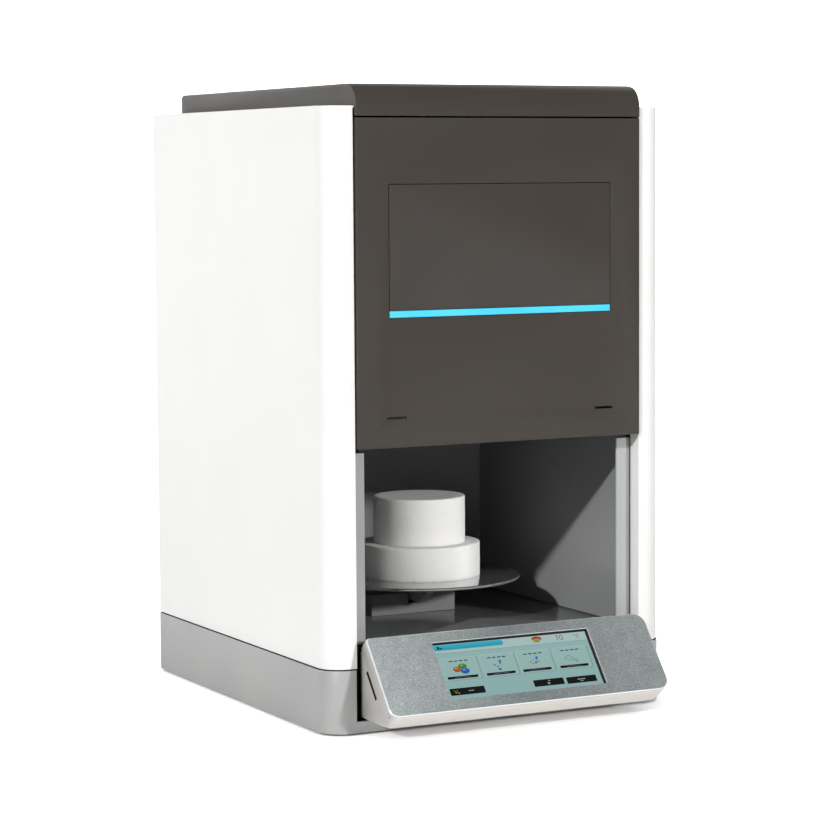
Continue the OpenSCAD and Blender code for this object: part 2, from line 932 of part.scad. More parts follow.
module roof_insulation() {
    color(fibre) from_front() difference() {
        block(muffle_top_z, case_inner_z);
        element_places() translate([0, 0, muffle_top_z - 1]) {
            cylinder(r = terminal_d / 2 + 0.5, h = case_inner_z - muffle_top_z + 2, $fn = 48);
        }
        rod(0, axis_y, muffle_top_z - 1, case_inner_z + 1, probe_r + 0.5);
    }
}

// Middle of each heating element's loop
module loop_places() {
    for (a = [0 : 90 : 270]) {
        translate([0, axis_y, 0]) rotate([0, 0, a]) translate([element_circle, 0, 0]) children();
    }
}

module element_places() {
    loop_places() for (s = [-1, 1]) {
        translate([0, s * element_span / 2, 0]) children();
    }
}

// Loops that hang from the roof into the hot space
module heating_elements() {
    bend_z = hearth_z + 10 + element_span / 2;
    color(dark_grey) from_front() {
        loop_places() translate([0, 0, bend_z]) rotate([-90, 0, 90]) {
            rotate_extrude(angle = 180, $fn = 64) {
                translate([element_span / 2, 0]) circle(d = element_d, $fn = 32);
            }
        }
        element_places() {
            translate([0, 0, bend_z]) cylinder(d = element_d, h = muffle_top_z - bend_z, $fn = 32);
            translate([0, 0, muffle_top_z]) {
                cylinder(d = terminal_d, h = terminal_top_z - muffle_top_z, $fn = 48);
            }
        }
    }
}

module element_holders() {
    reach = element_span / 2 + 11;
    color(fibre) from_front() loop_places() difference() {
        box(-holder_w / 2, holder_w / 2, -reach, reach, case_top_z, case_top_z + holder_h);
        for (s = [-1, 1]) {
            rod(0, s * element_span / 2, case_top_z - 1, case_top_z + holder_h + 1, terminal_d / 2 + 0.2);
        }
    }
}

module terminal_clamps() {
    r = terminal_d / 2;
    low = terminal_top_z - clamp_h - 4;
    color(alloy) from_front() element_places() difference() {
        union() {
            rod(0, 0, low, low + clamp_h, r + 3);
            box(r + 2, r + 8, -3, 3, low, low + clamp_h);
        }
        rod(0, 0, low - 1, low + clamp_h + 1, r + play);
    }
}

module thermocouple() {
    head_r = 12;
    head_h = 22;
    color(fibre) from_front() {
        rod(0, axis_y, muffle_top_z - 30, case_top_z + 2, probe_r);
        rod(0, axis_y, case_top_z, case_top_z + head_h, head_r);
    }
}

// Console, drawn flat and then set on its slope

module on_slope() {
    from_front() translate([0, -console_reach, plate_low_z]) rotate([plate_tilt, 0, 0]) children();
}

// The plate's outline, with its own radius at each left-hand corner
module console_outline(inset) {
    w = plate_w - 2 * inset;
    h = plate_l - 2 * inset;
    low = plate_low_r - inset;
    high = plate_top_r - inset;
    r = plate_r - inset;
    translate([-plate_w / 2 + inset, inset]) {
        polygon([[low, 0], [w - r, 0], [w, r], [w, h - r], [w - r, h], [high, h], [0, h - high], [0, low]]);
        translate([low, low]) circle(r = low, $fn = 64);
        translate([high, h - high]) circle(r = high, $fn = 64);
        for (y = [r, h - r]) {
            translate([w - r, y]) circle(r = r, $fn = 64);
        }
    }
}

// Hollow body behind the plate, rounded like it at the lower corners
module console_housing() {
    low_y = -console_reach + console_t * sin(plate_tilt);
    low_z = plate_low_z - console_t * cos(plate_tilt);
    top_y = low_y + (plate_l - 1) * cos(plate_tilt);
    top_z = low_z + (plate_l - 1) * sin(plate_tilt);
    back = housing_back_y;
    w = slab_half_back;
    color(white) difference() {
        union() {
            on_slope() intersection() {
                translate([0, 0, -console_t]) linear_extrude(height = console_t - plate_t) {
                    console_outline(0);
                }
                rotate([-90, 0, 0]) linear_extrude(height = plate_l) polygon([
                    [-plate_w / 2, plate_t],
                    [plate_w / 2, plate_t],
                    [w, console_t],
                    [-w, console_t]
                ]);
            }
            intersection() {
                from_front() side_profile([
                    [low_y - 0.5, low_z + 0.4],
                    [low_y + 2, low_z],
                    [back, low_z + 1.8],
                    [back, floor_z - deck_t - gap],
                    [top_y, top_z],
                    [top_y - 1, top_z - 1]
                ], -w, w);
                on_slope() translate([0, 0, -2 * plate_l]) linear_extrude(height = 2 * plate_l) {
                    translate([-w, 0]) rounded_rect(2 * w, 2 * plate_l, plate_low_r);
                }
            }
        }
        on_slope() screen_block(8, 6, -console_t + 3, 1);
        on_slope() translate([-w - 1, 31, -console_t - card_slot_h - 1]) {
            cube([bezel_t + 4, card_slot_l, card_slot_h]);
        }
    }
}

// Block over the screen, wider and higher than it by the given margins
module screen_block(side, end, z0, z1) {
    box(screen_x0 - side, screen_x1 + side, screen_y0 - end, screen_y0 + screen_h + end, z0, z1);
}

module console_plate() {
    color(alloy) on_slope() difference() {
        translate([0, 0, -plate_t]) linear_extrude(height = plate_t) console_outline(0);
        screen_block(0, 0, -plate_t - 1, 1);
    }
}

module screen_bezel() {
    low = -plate_t - bezel_t;
    color(black) on_slope() difference() {
        screen_block(bezel_w, bezel_w - 2, low, -plate_t);
        screen_block(0, 0, low - 1, 1);
    }
}

module touch_display() {
    low = -plate_t - bezel_t;
    color(black) on_slope() {
        screen_block(-gap, -gap, -screen_sunk - display_t, -screen_sunk);
        screen_block(-2, -2, low - 1, -screen_sunk - display_t + 0.5);
        screen_block(4, 3, low - bezel_t, low);
    }
}

module display_board() {
    top = -plate_t - 2 * bezel_t;
    board_t = 1.6;
    color(board_green) on_slope() {
        screen_block(4, 3, top - board_t, top);
        box(-40, -22, screen_y0 + 8, screen_y0 + 26, top - 4, top - 1);
        box(10, 40, screen_y0 + 10, screen_y0 + 18, top - 4.5, top - 1);
    }
}

// Electrics in the base

module transformer() {
    low = base_floor_z;
    color(dark_grey) from_front() translate([-supply_half, 70, low]) {
        cube([100, 80, 3]);
        translate([8, 18, 2]) cube([84, 44, 50]);
        for (x = [20, 50]) {
            translate([x, 4, 8]) cube([30, 72, 38]);
        }
    }
}

module power_controller() {
    w = 100;
    d = 90;
    fins = 10;
    fin_t = 2;
    fin_step = (w - fin_t - 2) / (fins - 1) - 0.05;
    color(alloy) from_front() translate([supply_half - w, 60, base_floor_z]) {
        cube([w, d, 6]);
        for (i = [0 : fins - 1]) {
            translate([1 + i * fin_step, 0, 5]) cube([fin_t, d, 29]);
        }
    }
}

module control_board() {
    w = 110;
    d = 90;
    board_z = 8;
    board_t = 1.6;
    top = board_z + board_t - 0.6;
    color(board_green) from_front() translate([-board_half, board_y, base_floor_z]) {
        translate([0, 0, board_z]) cube([w, d, board_t]);
        for (x = [5, w - 5], y = [5, d - 5]) {
            rod(x, y, 0, top, 3);
        }
        translate([20, 15, top]) cube([20, 25, 4]);
        for (y = [10, 32]) {
            translate([60, y, top]) cube([30, 16, 15]);
        }
        translate([5, 25, top]) cube([7, 45, 9]);
        rod(48, 65, top, top + 21, 9);
    }
}

// Rear pieces

module fan_frame() {
    back = rear_y - sheet;
    w = fan_w / 2;
    strut_t = 3;
    color(black) from_front() difference() {
        box(-w, w, back - fan_t, back, fan_z - w, fan_z + w);
        rod_y(0, back - fan_t - 1, back - strut_t, fan_z, fan_bore_r);
        difference() {
            rod_y(0, back - strut_t - 1, back + 1, fan_z, fan_bore_r);
            rod_y(0, back - strut_t - 2, back + 2, fan_z, fan_hub_r);
            for (a = [45, 135]) {
                translate([0, 0, fan_z]) rotate([0, a, 0]) {
                    box(-w - 4, w + 4, back - strut_t - 2, back + 2, -fan_strut / 2, fan_strut / 2);
                }
            }
        }
        fan_screw_places() rod_y(0, back - fan_t - 1, back + 1, 0, 2.2);
    }
}

module fan_rotor() {
    back = rear_y - sheet - 3.5;
    front = back - 19;
    blades = 7;
    color(black) from_front() {
        rod_y(0, front, back, fan_z, fan_hub_r);
        intersection() {
            difference() {
                rod_y(0, front, back, fan_z, fan_bore_r - 1.2);
                rod_y(0, front - 1, back + 1, fan_z, fan_hub_r - 1);
            }
            for (i = [0 : blades - 1]) {
                translate([0, (front + back) / 2, fan_z]) rotate([0, i * 360 / blades, 0]) {
                    rotate([38, 0, 0]) box(12, 50, -13, 13, -blade_t / 2, blade_t / 2);
                }
            }
        }
    }
}

module fan_guard() {
    wire = 1.8;
    y0 = rear_y;
    y1 = rear_y + wire;
    bar = fan_hole_x * sqrt(2);
    color(steel) from_front() {
        for (r = [16 : 9 : 43]) {
            difference() {
                rod_y(0, y0 + 0.2, y1, fan_z, r + wire / 2);
                rod_y(0, y0 - 1, y1 + 1, fan_z, r - wire / 2);
            }
        }
        for (a = [45, 135]) {
            translate([0, 0, fan_z]) rotate([0, a, 0]) difference() {
                box(-bar, bar, y0, y0 + 1.4, -wire / 2, wire / 2);
                box(-15, 15, y0 - 1, y0 + 3, -2, 2);
            }
        }
        fan_screw_places() {
            rod_y(0, y0 - 12, y1, 0, 2);
            rod_y(0, y0, y1, 0, 4);
        }
    }
}

// Sunken tray in the rear of the base that holds inlet and switch
module inlet_panel() {
    z0 = inlet_z0 - 2 + gap;
    z1 = inlet_z1 + 1 - gap;
    color(black) from_front() difference() {
        box(inlet_x0 - 2 + gap, inlet_x1 + 2 - gap, inlet_floor_y - 1.5, base_y1, z0, z1);
        box(inlet_x0, inlet_x1, inlet_floor_y, base_y1 + 1, inlet_z0, inlet_z1 - 1);
        around(switch_mid_x, 15.5, 11.5, inlet_floor_y - 3, inlet_floor_y + 1);
        around(inlet_mid_x, 16.5, 11.5, inlet_floor_y - 3, inlet_floor_y + 1);
    }
}

// Block about the level line of inlet and switch, with its half width and half height
module around(x, w, h, y0, y1) {
    box(x - w, x + w, y0, y1, socket_mid_z - h, socket_mid_z + h);
}

module power_inlet() {
    y1 = inlet_floor_y + 2.5;
    pin_step = 7;
    color(black) from_front() {
        difference() {
            union() {
                around(inlet_mid_x, 25, 13, inlet_floor_y, y1);
                around(inlet_mid_x, 16.2, 11.2, y1 - 24, y1);
            }
            around(inlet_mid_x, 12.5, 8.5, y1 - 19, y1 + 1);
        }
        for (i = [-1 : 1]) {
            around(inlet_mid_x + i * pin_step, 1, 2, y1 - 20, y1 - 7);
        }
    }
}

module switch_frame() {
    y1 = inlet_floor_y + 1.5;
    color(black) from_front() difference() {
        union() {
            around(switch_mid_x, 17, 13, inlet_floor_y, y1);
            around(switch_mid_x, 15.2, 11.2, y1 - 20, y1);
        }
        around(switch_mid_x, 11, 9, y1 - 12, y1 + 1);
    }
}

// Rocker that tips about a level axis across its middle
module switch_rocker() {
    y1 = inlet_floor_y + 1.5;
    reach = 10.2;
    boss = 10.7;
    color(black) from_front() translate([switch_mid_x, y1 - 4, socket_mid_z]) {
        rotate([7, 0, 0]) side_profile([
            [-3.2, -4],
            [0, -8],
            [4.6, -8],
            [5.4, -6],
            [4.2, 0],
            [5.4, 6],
            [4.6, 8],
            [0, 8],
            [-3.2, 4]
        ], -reach, reach);
        translate([-boss, 0, 0]) rotate([0, 90, 0]) cylinder(r = 2.5, h = 2 * boss, $fn = 48);
    }
}

base_plinth();
rubber_feet();
bulkhead();
deck_rails();
columns();
left_side_panel();
right_side_panel();
rear_panel();
panel_screws();
top_cover();
front_cover();
window_plate();
accent_strip();
front_posts();
cavity_liner();
cavity_floor();
lift_shroud();
tray_disc();
tray_hub();
lower_fibre_disc();
fibre_plug();
lift_arm();
lift_carriage();
linear_bushings();
lead_nut();
lead_screw();
screw_coupling();
motor_shaft();
lift_motor();
motor_plate();
lift_brackets();
guide_shafts();
lift_spine();
bracket_screws();
limit_switches();
chamber_plate();
chamber_case();
seat_insulation();
lower_insulation();
middle_insulation();
roof_insulation();
heating_elements();
element_holders();
terminal_clamps();
thermocouple();
console_housing();
console_plate();
screen_bezel();
touch_display();
display_board();
transformer();
power_controller();
control_board();
fan_frame();
fan_rotor();
fan_guard();
inlet_panel();
power_inlet();
switch_frame();
switch_rocker();
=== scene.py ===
"""Bench furnace for dental ceramics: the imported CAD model, dressed with its real finishes."""

import json
from math import cos, hypot, pi, radians, sin

import bmesh
import bpy
from mathutils import Matrix, Vector, noise


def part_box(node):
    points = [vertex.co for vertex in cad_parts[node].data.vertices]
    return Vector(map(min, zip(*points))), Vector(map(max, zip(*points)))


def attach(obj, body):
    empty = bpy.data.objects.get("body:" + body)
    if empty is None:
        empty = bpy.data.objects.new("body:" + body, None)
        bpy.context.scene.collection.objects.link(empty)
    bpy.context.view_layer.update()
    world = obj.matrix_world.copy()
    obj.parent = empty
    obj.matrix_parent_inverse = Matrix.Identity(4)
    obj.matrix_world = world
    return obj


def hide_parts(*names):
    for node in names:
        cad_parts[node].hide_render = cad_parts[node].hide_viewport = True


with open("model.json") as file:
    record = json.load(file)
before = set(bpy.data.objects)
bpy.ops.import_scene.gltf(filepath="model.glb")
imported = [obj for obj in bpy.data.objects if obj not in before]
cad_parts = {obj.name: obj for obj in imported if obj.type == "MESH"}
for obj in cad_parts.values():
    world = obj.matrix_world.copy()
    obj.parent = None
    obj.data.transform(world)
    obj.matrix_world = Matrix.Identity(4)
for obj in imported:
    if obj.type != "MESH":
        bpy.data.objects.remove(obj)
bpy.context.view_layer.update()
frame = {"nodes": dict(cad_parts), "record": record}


# Camera
# The photograph was taken from the front left and slightly above, with a long lens.
# Places are given in millimetres, with depths counted from the front plane of the side panels.
FRONT_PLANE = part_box("left_side_panel")[0].y


def at(x, y, z):
    """The scene's spot, in metres, for a place in these millimetres."""
    return Vector((x / 1000, y / 1000 + FRONT_PLANE, z / 1000))


def photo_camera():
    """A camera placed, turned and focused as the one that took the photograph."""
    sensor, focal_pixels, picture_pixels = 36, 2746.77, 820
    yaw, pitch, roll = radians(27.40), radians(4.91), radians(-0.39)
    forward = Vector((sin(yaw) * cos(pitch), cos(yaw) * cos(pitch), -sin(pitch)))
    level = Vector((cos(yaw), -sin(yaw), 0))
    upright = level.cross(forward)
    right = level * cos(roll) + upright * sin(roll)
    up = upright * cos(roll) - level * sin(roll)
    data = bpy.data.cameras.new("photo_camera")
    data.sensor_width = sensor
    data.lens = sensor * focal_pixels / picture_pixels
    camera = bpy.data.objects.new("photo_camera", data)
    bpy.context.scene.collection.objects.link(camera)
    turn = Matrix((right, up, -forward)).transposed().to_4x4()
    camera.matrix_world = Matrix.Translation(at(-1229.53, -2191.29, 504.02)) @ turn
    bpy.context.scene.camera = camera


photo_camera()


# Studio
# A pale floor that curves up into a backdrop, a window on the left, a low lamp in front and even
# light all round. The floor keeps its shadow, and the camera sees the backdrop as white.
def linear(colour):
    """sRGB hex to the linear colour that a shader socket takes."""
    values = [int(colour[i:i + 2], 16) / 255 for i in (1, 3, 5)]
    return (*[v / 12.92 if v <= 0.04045 else ((v + 0.055) / 1.055) ** 2.4 for v in values], 1.0)


def add(tree, kind, inputs=None, **settings):
    """Adds one node. An input takes a value, or another node's output as a link."""
    made = tree.nodes.new(kind)
    for name, value in settings.items():
        setattr(made, name, value)
    for name, value in (inputs or {}).items():
        if isinstance(value, bpy.types.NodeSocket):
            tree.links.new(value, made.inputs[name])
        else:
            made.inputs[name].default_value = value
    return made


def skin(shape, rings, closed=True, smooth=True):
    """Joins rings of corners, each to the next, and gives the faces of each band between two."""
    bands = []
    for a, b in zip(rings, rings[1:]):
        sides = [(i, (i + 1) % len(a)) for i in range(len(a) if closed else len(a) - 1)]
        bands.append([shape.faces.new((a[i], a[j], b[j], b[i])) for i, j in sides])
        for face in bands[-1]:
            face.smooth = smooth
    return bands


def into_scene(name, shape):
    """Puts a finished shape into the scene as an object."""
    mesh = bpy.data.meshes.new(name)
    shape.to_mesh(mesh)
    piece = bpy.data.objects.new(name, mesh)
    bpy.context.scene.collection.objects.link(piece)
    return piece


def white_where_seen(tree, strength, colour=None):
    """Adds this much white glow where the camera looks, also through glass, and none for lighting."""
    path = add(tree, "ShaderNodeLightPath")
    seen = add(tree, "ShaderNodeMath", {
        0: path.outputs["Is Camera Ray"], 1: path.outputs["Is Transmission Ray"]}, operation="MAXIMUM")
    amount = add(tree, "ShaderNodeMath", {0: seen.outputs[0], 1: strength}, operation="MULTIPLY")
    return add(tree, "ShaderNodeEmission", {
        "Color": colour or linear("#FFFFFF"), "Strength": amount.outputs[0]})


def paper_sweep():
    """The floor with its backdrop: one sheet of paper, in metres, that curves up behind the object."""
    front, bend, curve, top, half = -4.0, 2.2, 1.2, 5.0, 7.0
    line = [(front, 0.0), (bend, 0.0)]
    line += [(bend + curve * sin(a), curve - curve * cos(a)) for a in [radians(9 * i) for i in range(1, 11)]]
    line += [(bend + curve, top)]
    sweep = bmesh.new()
    skin(sweep, [[sweep.verts.new((x, y, z)) for x in (-half, half)] for y, z in line], closed=False)
    floor = into_scene("studio_floor", sweep)
    paper = bpy.data.materials.new("matt_backdrop_paper")
    paper.use_nodes = True
    tree = paper.node_tree
    tree.nodes.clear()
    matt = add(tree, "ShaderNodeBsdfDiffuse", {"Color": linear("#F4F4F4")})
    # Painted contact shadow: the camera's white glow on the floor fades by ambient occlusion where the object
    # comes near.
    corners = add(tree, "ShaderNodeAmbientOcclusion", {"Distance": 0.04})
    glow = white_where_seen(tree, 0.75, corners.outputs["Color"])
    both = add(tree, "ShaderNodeAddShader", {0: matt.outputs[0], 1: glow.outputs[0]})
    add(tree, "ShaderNodeOutputMaterial", {"Surface": both.outputs[0]})
    floor.data.materials.append(paper)


def lights():
    """The even light of the world and two lamps, each with its strength, its width and its way."""
    scene = bpy.context.scene
    world = bpy.data.worlds.new("even_light")
    world.use_nodes = True
    tree = world.node_tree
    tree.nodes.clear()
    even = add(tree, "ShaderNodeBackground", {"Color": linear("#FFFFFF"), "Strength": 0.2})
    glow = white_where_seen(tree, 0.8)
    both = add(tree, "ShaderNodeAddShader", {0: even.outputs[0], 1: glow.outputs[0]})
    add(tree, "ShaderNodeOutputWorld", {"Surface": both.outputs[0]})
    scene.world = world

    for name, energy, angle, way in (
            ("left_window", 2.2, 2, (1.7, 1.09, -0.9)),
            ("front_lamp", 2.0, 4, (-0.33, 0.907, -0.26))):
        sun = bpy.data.lights.new(name, "SUN")
        sun.energy = energy
        sun.angle = radians(angle)
        lamp = bpy.data.objects.new(name, sun)
        scene.collection.objects.link(lamp)
        lamp.rotation_euler = Vector(way).to_track_quat("-Z", "Y").to_euler()
        lamp.visible_glossy = name == "left_window"


bpy.context.scene.view_settings.view_transform = "Standard"
paper_sweep()
lights()


# Base
# The foot of the housing is a folded steel tub with big front corners, powder coated pale grey.
# The coat has a fine orange peel that softens its highlights.
def new_finish(name, colour, roughness, metallic=0.0, **sockets):
    """Starts a material, and gives its tree, its shader and the object's own grid in millimetres."""
    material = bpy.data.materials.new(name)
    material.use_nodes = True
    tree = material.node_tree
    shader = tree.nodes["Principled BSDF"]
    shader.inputs["Base Color"].default_value = linear(colour)
    shader.inputs["Roughness"].default_value = roughness
    shader.inputs["Metallic"].default_value = metallic
    for socket, value in sockets.items():
        shader.inputs[socket.replace("_", " ")].default_value = value
    place = add(tree, "ShaderNodeTexCoord")
    grid = add(tree, "ShaderNodeVectorMath", {0: place.outputs["Object"], "Scale": 1000.0},
               operation="SCALE")
    return material, tree, shader, grid.outputs["Vector"]


def speckle(tree, grid, size, detail=2.0, stretch=(1, 1, 1)):
    """Cloudy pattern whose patches are about size mm across, stretched along an axis if asked."""
    if stretch != (1, 1, 1):
        grid = add(tree, "ShaderNodeVectorMath", {0: grid, 1: [1 / s for s in stretch]},
                   operation="MULTIPLY").outputs["Vector"]
    return add(tree, "ShaderNodeTexNoise", {"Vector": grid, "Scale": 1 / size, "Detail": detail}
               ).outputs["Fac"]


def tint(tree, shader, pattern, dark, pale, low=0.35, high=0.65):
    """Runs the base colour between two shades of the finish along a pattern."""
    ramp = add(tree, "ShaderNodeValToRGB", {"Fac": pattern})
    ramp.color_ramp.elements[0].position = low
    ramp.color_ramp.elements[0].color = linear(dark)
    ramp.color_ramp.elements[1].position = high
    ramp.color_ramp.elements[1].color = linear(pale)
    tree.links.new(ramp.outputs["Color"], shader.inputs["Base Color"])


def relief(tree, shader, pattern, depth):
    """Raises the surface along a pattern by this many millimetres."""
    bump = add(tree, "ShaderNodeBump", {"Height": pattern, "Distance": depth / 1000, "Strength": 1.0})
    tree.links.new(bump.outputs["Normal"], shader.inputs["Normal"])


def polish(tree, shader, pattern, low, high):
    """Lets the roughness wander between two values."""
    spread = add(tree, "ShaderNodeMapRange", {
        "Value": pattern, "From Min": 0.2, "From Max": 0.8, "To Min": low, "To Max": high})
    tree.links.new(spread.outputs[0], shader.inputs["Roughness"])


def powder_coat(name, dark, pale, roughness, peel=1.6):
    """Baked powder on sheet steel: even colour, a soft sheen and a fine orange peel."""
    material, tree, shader, grid = new_finish(name, pale, roughness, IOR=1.5)
    tint(tree, shader, speckle(tree, grid, 70, 0.0), dark, pale, 0.2, 0.8)
    polish(tree, shader, speckle(tree, grid, 40, 0.0), roughness - 0.02, roughness + 0.02)
    relief(tree, shader, speckle(tree, grid, peel, 1.0), 0.012)
    return material


BODY_OF = {name: body
           for body, names in frame["record"]["behaviour"]["bodies"].items()
           for name in names}


def join_body(piece, body, material=None):
    """Puts a finished piece on its body, and gives it its finish."""
    if material:
        piece.data.materials.clear()
        piece.data.materials.append(material)
    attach(piece, body)
    return piece


def dressed(node, edge, material, steps=2, smooth=True):
    """Copies a CAD piece, clears the triangle lines from its flats and breaks its edges by edge mm."""
    same_spot, flat, sharp = 2e-6, radians(0.6), radians(35)
    mesh = frame["nodes"][node].data.copy()
    shape = bmesh.new()
    shape.from_mesh(mesh)
    bmesh.ops.remove_doubles(shape, verts=shape.verts, dist=same_spot)
    bmesh.ops.dissolve_limit(shape, angle_limit=flat, verts=shape.verts, edges=shape.edges)
    shape.to_mesh(mesh)
    if smooth:
        mesh.shade_smooth()
    piece = bpy.data.objects.new(node + "_finished", mesh)
    bpy.context.scene.collection.objects.link(piece)
    bevel = piece.modifiers.new("broken_edges", "BEVEL")
    bevel.width = edge / 1000
    bevel.segments = steps
    bevel.limit_method = "ANGLE"
    bevel.angle_limit = sharp
    bevel.harden_normals = smooth
    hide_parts(node)
    return join_body(piece, BODY_OF[node], material)


def nudge(piece, chosen, by):
    """Moves those corners of a piece that a test picks, by so many millimetres."""
    for corner in piece.data.vertices:
        if chosen(corner.co * 1000):
            corner.co += Vector(by) / 1000


def repaint(piece, material, chosen):
    """Gives a second finish to those faces of a piece that a test picks."""
    piece.data.materials.append(material)
    for face in piece.data.polygons:
        if chosen(face):
            face.material_index = 1


def paint(node, material):
    """Gives a CAD piece its finish as it stands."""
    for place in frame["nodes"][node].material_slots:
        place.material = material


SEAM = 59.8
base_coat = powder_coat("pale_grey_powder_coat", "#9E9E9E", "#A3A3A2", 0.42)
plinth = dressed("base_plinth", 0.8, base_coat)


# Feet
# Four pushed-in rubber feet, moulded black with a dull skin and dust in the grain. The same black rubber
# is given to the top of the base's rim, under the side panels, as painted shade that darkens the seam.
def moulded_rubber():
    """Black rubber with a faint grey bloom: almost no shine."""
    material, tree, shader, grid = new_finish("moulded_black_rubber", "#1B1B1B", 0.75, IOR=1.52)
    tint(tree, shader, speckle(tree, grid, 6), "#151515", "#262625")
    relief(tree, shader, speckle(tree, grid, 0.8), 0.03)
    return material


rubber = moulded_rubber()
dressed("rubber_feet", 0.5, rubber)
# Painted shade: the base's rim under the side panels is made black so the seam reads dark.
repaint(plinth, rubber, lambda face: face.normal.z > 0.9 and face.center.z * 1000 > SEAM - 0.1)


# Frame
# Four hollow columns that carry the chamber and two rails under the cavity floor, in galvanised
# steel, and a bulkhead behind the console, whose ears end just below the console's top edge. Its black
# coat is painted shade, which darkens the gap beside the console.
def galvanised():
    """Zinc on steel: dull silver with soft crystal patches about 8 mm across."""
    material, tree, shader, grid = new_finish("galvanised_sheet", "#9DA1A3", 0.42, 0.9)
    cells = add(tree, "ShaderNodeTexVoronoi", {"Vector": grid, "Scale": 1 / 8}, feature="F1")
    shade = add(tree, "ShaderNodeSeparateColor", {"Color": cells.outputs["Color"]})
    tint(tree, shader, shade.outputs["Red"], "#8C9092", "#AEB2B4", 0.0, 1.0)
    polish(tree, shader, shade.outputs["Green"], 0.36, 0.5)
    return material


zinc = galvanised()
black_coat = powder_coat("black_powder_coat", "#0B0B0B", "#101010", 0.6)
# Painted shade: the bulkhead is coated black so the gap beside the console reads dark.
bulkhead = dressed("bulkhead", 0.4, black_coat)
EARS_FROM, EARS_TOP = 130, 86
nudge(bulkhead, lambda spot: abs(spot.x) > EARS_FROM and abs(spot.z - EARS_TOP) < 1, (0, 0, -1.6))
for name in ("deck_rails", "columns", "motor_plate", "lift_spine"):
    dressed(name, 0.5, zinc)


# Side panels
# One 2 mm sheet a side ends just above the seal on the base. It is folded round the front corner into
# a flange and a hem beside the front post. The white powder coat is smooth and only slightly glossy.
white_coat = powder_coat("white_powder_coat", "#E6E6E4", "#E8E8E6", 0.38)
HEM, HEM_END = 150, 13 + FRONT_PLANE * 1000
for name in ("left_side_panel", "right_side_panel"):
    panel = dressed(name, 0.7, white_coat, 3)
    nudge(panel, lambda spot: spot.z < SEAM + 0.1, (0, 0, 0.9))
    nudge(panel, lambda spot: abs(abs(spot.x) - HEM) < 1.1 and abs(spot.y - HEM_END) < 0.7, (0, 1.6, 0))


# Rear panel
# A flat white sheet screwed to the panels' returns, with pressed louvres above and below the fan.
dressed("rear_panel", 0.3, white_coat, 1, smooth=False)


def louvre_hoods():
    """Each slot has a lip pressed outwards above it, like a shallow half shell."""
    pitch, upper, lower = 7, 488, 90
    slots = [(x, upper + pitch * i) for x in (-120, -60, 60, 120) for i in range(8)]
    slots += [(x, lower + pitch * i) for x in (-120, -60, 0, 60, 120) for i in range(6)]
    sheet, rise, half, spans, blunt = 395.3, 1.7, 22, 8, 5
    profile = ((0.0, 5.4), (0.55, 4.9), (0.9, 4.2), (1.0, 3.4), (0.86, 3.4), (0.0, 4.6))
    shape = bmesh.new()
    for x, z in slots:
        rings = []
        for j in range(spans + 1):
            along = -half + 2 * half * j / spans
            swell = rise * min(1.0, (1 - abs(along) / half) * blunt) ** 0.5
            rings.append([shape.verts.new(at(x + along, sheet + swell * out, z + up)) for out, up in profile])
        skin(shape, rings, closed=False)
    bmesh.ops.remove_doubles(shape, verts=shape.verts, dist=1e-6)
    bmesh.ops.recalc_face_normals(shape, faces=shape.faces)
    join_body(into_scene("louvre_hoods", shape), "chassis", white_coat)


louvre_hoods()


# Panel screws
# Countersunk steel screws with a cross recess, zinc plated, four on each side of the rear.
def plated_steel():
    """Bright zinc plating: pale silver with a slight blue cast and fine turning marks."""
    material, tree, shader, grid = new_finish("zinc_plated_steel", "#B4B8BB", 0.28, 1.0)
    tint(tree, shader, speckle(tree, grid, 2.5), "#A8ACB0", "#C2C5C7")
    polish(tree, shader, speckle(tree, grid, 0.6), 0.22, 0.36)
    return material


bright_steel = plated_steel()
dressed("panel_screws", 0.15, bright_steel)
dressed("bracket_screws", 0.2, bright_steel)


def painted_cross_shade():
    """The cross that the driver fits, as a thin black patch in each countersunk head: painted shade for the
    recess.
    """
    column, reach, half, bottom, mouth = 169.5, 2.0, 0.4, 396.9, 397.14
    shape = bmesh.new()
    for x in (-column, column):
        for z in (90, 240, 390, 540):
            for turn in (0.4, 0.4 + pi / 2):
                ends = [(x + u * cos(turn) - v * sin(turn), z + u * sin(turn) + v * cos(turn))
                        for u, v in ((-reach, -half), (reach, -half), (reach, half), (-reach, half))]
                low, top = [[shape.verts.new(at(u, depth, v)) for u, v in ends] for depth in (bottom, mouth)]
                shape.faces.new(top)
                skin(shape, [low, top], smooth=False)
    bmesh.ops.recalc_face_normals(shape, faces=shape.faces)
    join_body(into_scene("screw_cross_painted_shade", shape), "chassis", black_coat)


painted_cross_shade()


# Top cover and front cover
# Pressed steel covers in a warm dark grey, with a narrow seam between them. The powder is a fine
# matt one, with a short soft shine.
dark_coat = powder_coat("dark_grey_powder_coat", "#3A3530", "#3C3732", 0.42, 1.2)
dressed("top_cover", 0.6, dark_coat, 3)
cover = dressed("front_cover", 0.5, dark_coat, 2)
cover_top = max(corner.co.z for corner in cover.data.vertices) * 1000
nudge(cover, lambda spot: spot.z > cover_top - 0.1, (0, 0, -0.8))


# Window plate and accent strip
# A lacquered plate sits flush in the front cover, with a moulded light-blue strip along its foot.
def lacquer():
    """Lacquered acrylic: the cover's own dark grey, a little smoother and glossier."""
    material, tree, shader, grid = new_finish("dark_lacquered_acrylic", "#3F3A36", 0.3, IOR=1.49)
    tint(tree, shader, speckle(tree, grid, 60, 0.0), "#3A3531", "#3E3935", 0.2, 0.8)
    relief(tree, shader, speckle(tree, grid, 3, 0.0), 0.004)
    return material


def strip_plastic():
    """Tinted acrylic: light blue and glossy, with slightly paler clouds."""
    material, tree, shader, grid = new_finish("light_blue_acrylic", "#4ECDF2", 0.22, IOR=1.49)
    tint(tree, shader, speckle(tree, grid, 40), "#48C9EF", "#54D0F5")
    return material


dressed("window_plate", 0.3, lacquer())
dressed("accent_strip", 0.4, strip_plastic())


